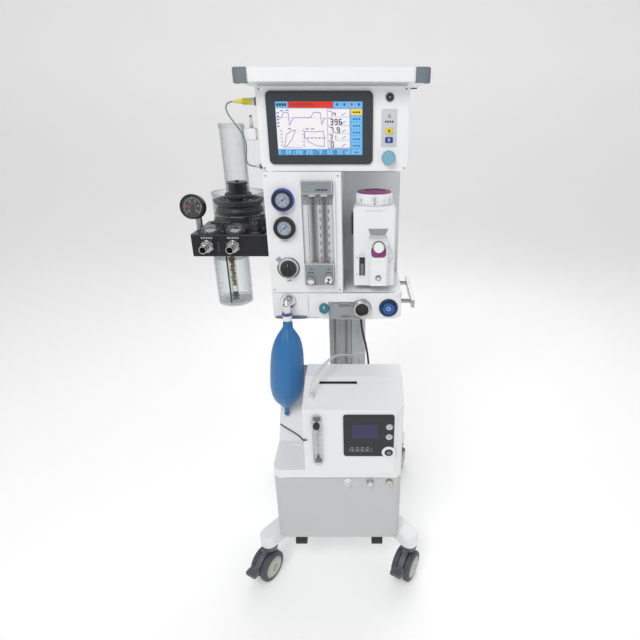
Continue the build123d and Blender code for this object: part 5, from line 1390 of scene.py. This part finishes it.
def studio():
    """Pale floor that curves up into a backdrop, with broad soft lights."""
    y = np.concatenate([np.linspace(-4, 3, 12), 3 + 2 * np.sin(np.linspace(0, math.pi / 2, 14)), [5, 5]])
    z = np.concatenate([np.zeros(12), 2 - 2 * np.cos(np.linspace(0, math.pi / 2, 14)), [4, 9]])
    x = np.linspace(-8, 8, 5)
    points = np.stack(np.broadcast_arrays(x[None, :], y[:, None], z[:, None]), -1)
    made = Finish("studio_white")
    made.set(Base_Color=made.blend(made.noise(2.0), rgb(0.88, 0.88, 0.88), rgb(0.92, 0.92, 0.92)),
             Roughness=0.8,
             Emission_Color=rgb(1, 1, 1))
    made.shader.inputs["Emission Strength"].default_value = 0.22
    finishes["studio_white"] = made.material
    mesh = bpy.data.meshes.new("studio_floor")
    rows, cols = points.shape[:2]
    quads = [(r * cols + c, r * cols + c + 1, (r + 1) * cols + c + 1, (r + 1) * cols + c)
             for r in range(rows - 1) for c in range(cols - 1)]
    mesh.from_pydata(points.reshape(-1, 3), [], quads)
    mesh.shade_smooth()
    mesh.materials.append(made.material)
    floor = bpy.data.objects.new("studio_floor", mesh)
    bpy.context.scene.collection.objects.link(floor)
    world = bpy.data.worlds.new("studio")
    world.use_nodes = True
    world.node_tree.nodes["Background"].inputs["Color"].default_value = (1, 1, 1, 1)
    world.node_tree.nodes["Background"].inputs["Strength"].default_value = 0.40
    bpy.context.scene.world = world
    for name, place, aim, size, power in (("key", (-0.9, -2.4, 3.4), (0, 0, 1.0), 1.6, 56),
                                          ("fill", (2.4, -2.0, 1.8), (0, 0, 0.9), 2.4, 12),
                                          ("rim", (0.6, 2.2, 2.8), (0, 0, 1.1), 2.0, 30)):
        data = bpy.data.lights.new(name, "AREA")
        data.size = size
        data.energy = power
        lamp = bpy.data.objects.new(name, data)
        bpy.context.scene.collection.objects.link(lamp)
        lamp.location = place
        lamp.rotation_euler = (Vector(aim) - Vector(place)).to_track_quat("-Z", "Y").to_euler()
    bpy.context.scene.view_settings.view_transform = "Standard"


paint_nodes()
screen_display()
monitor_details()
tray_details()
panel_details()
vaporizer()
control_details()
circuit_print()
manometer()
canister()
bellows_stack()
circuit_knobs()
breathing_bag()
bag_arm_details()
sensor_details()
concentrator()
side_vents()
base_details()
rear_details()
studio()
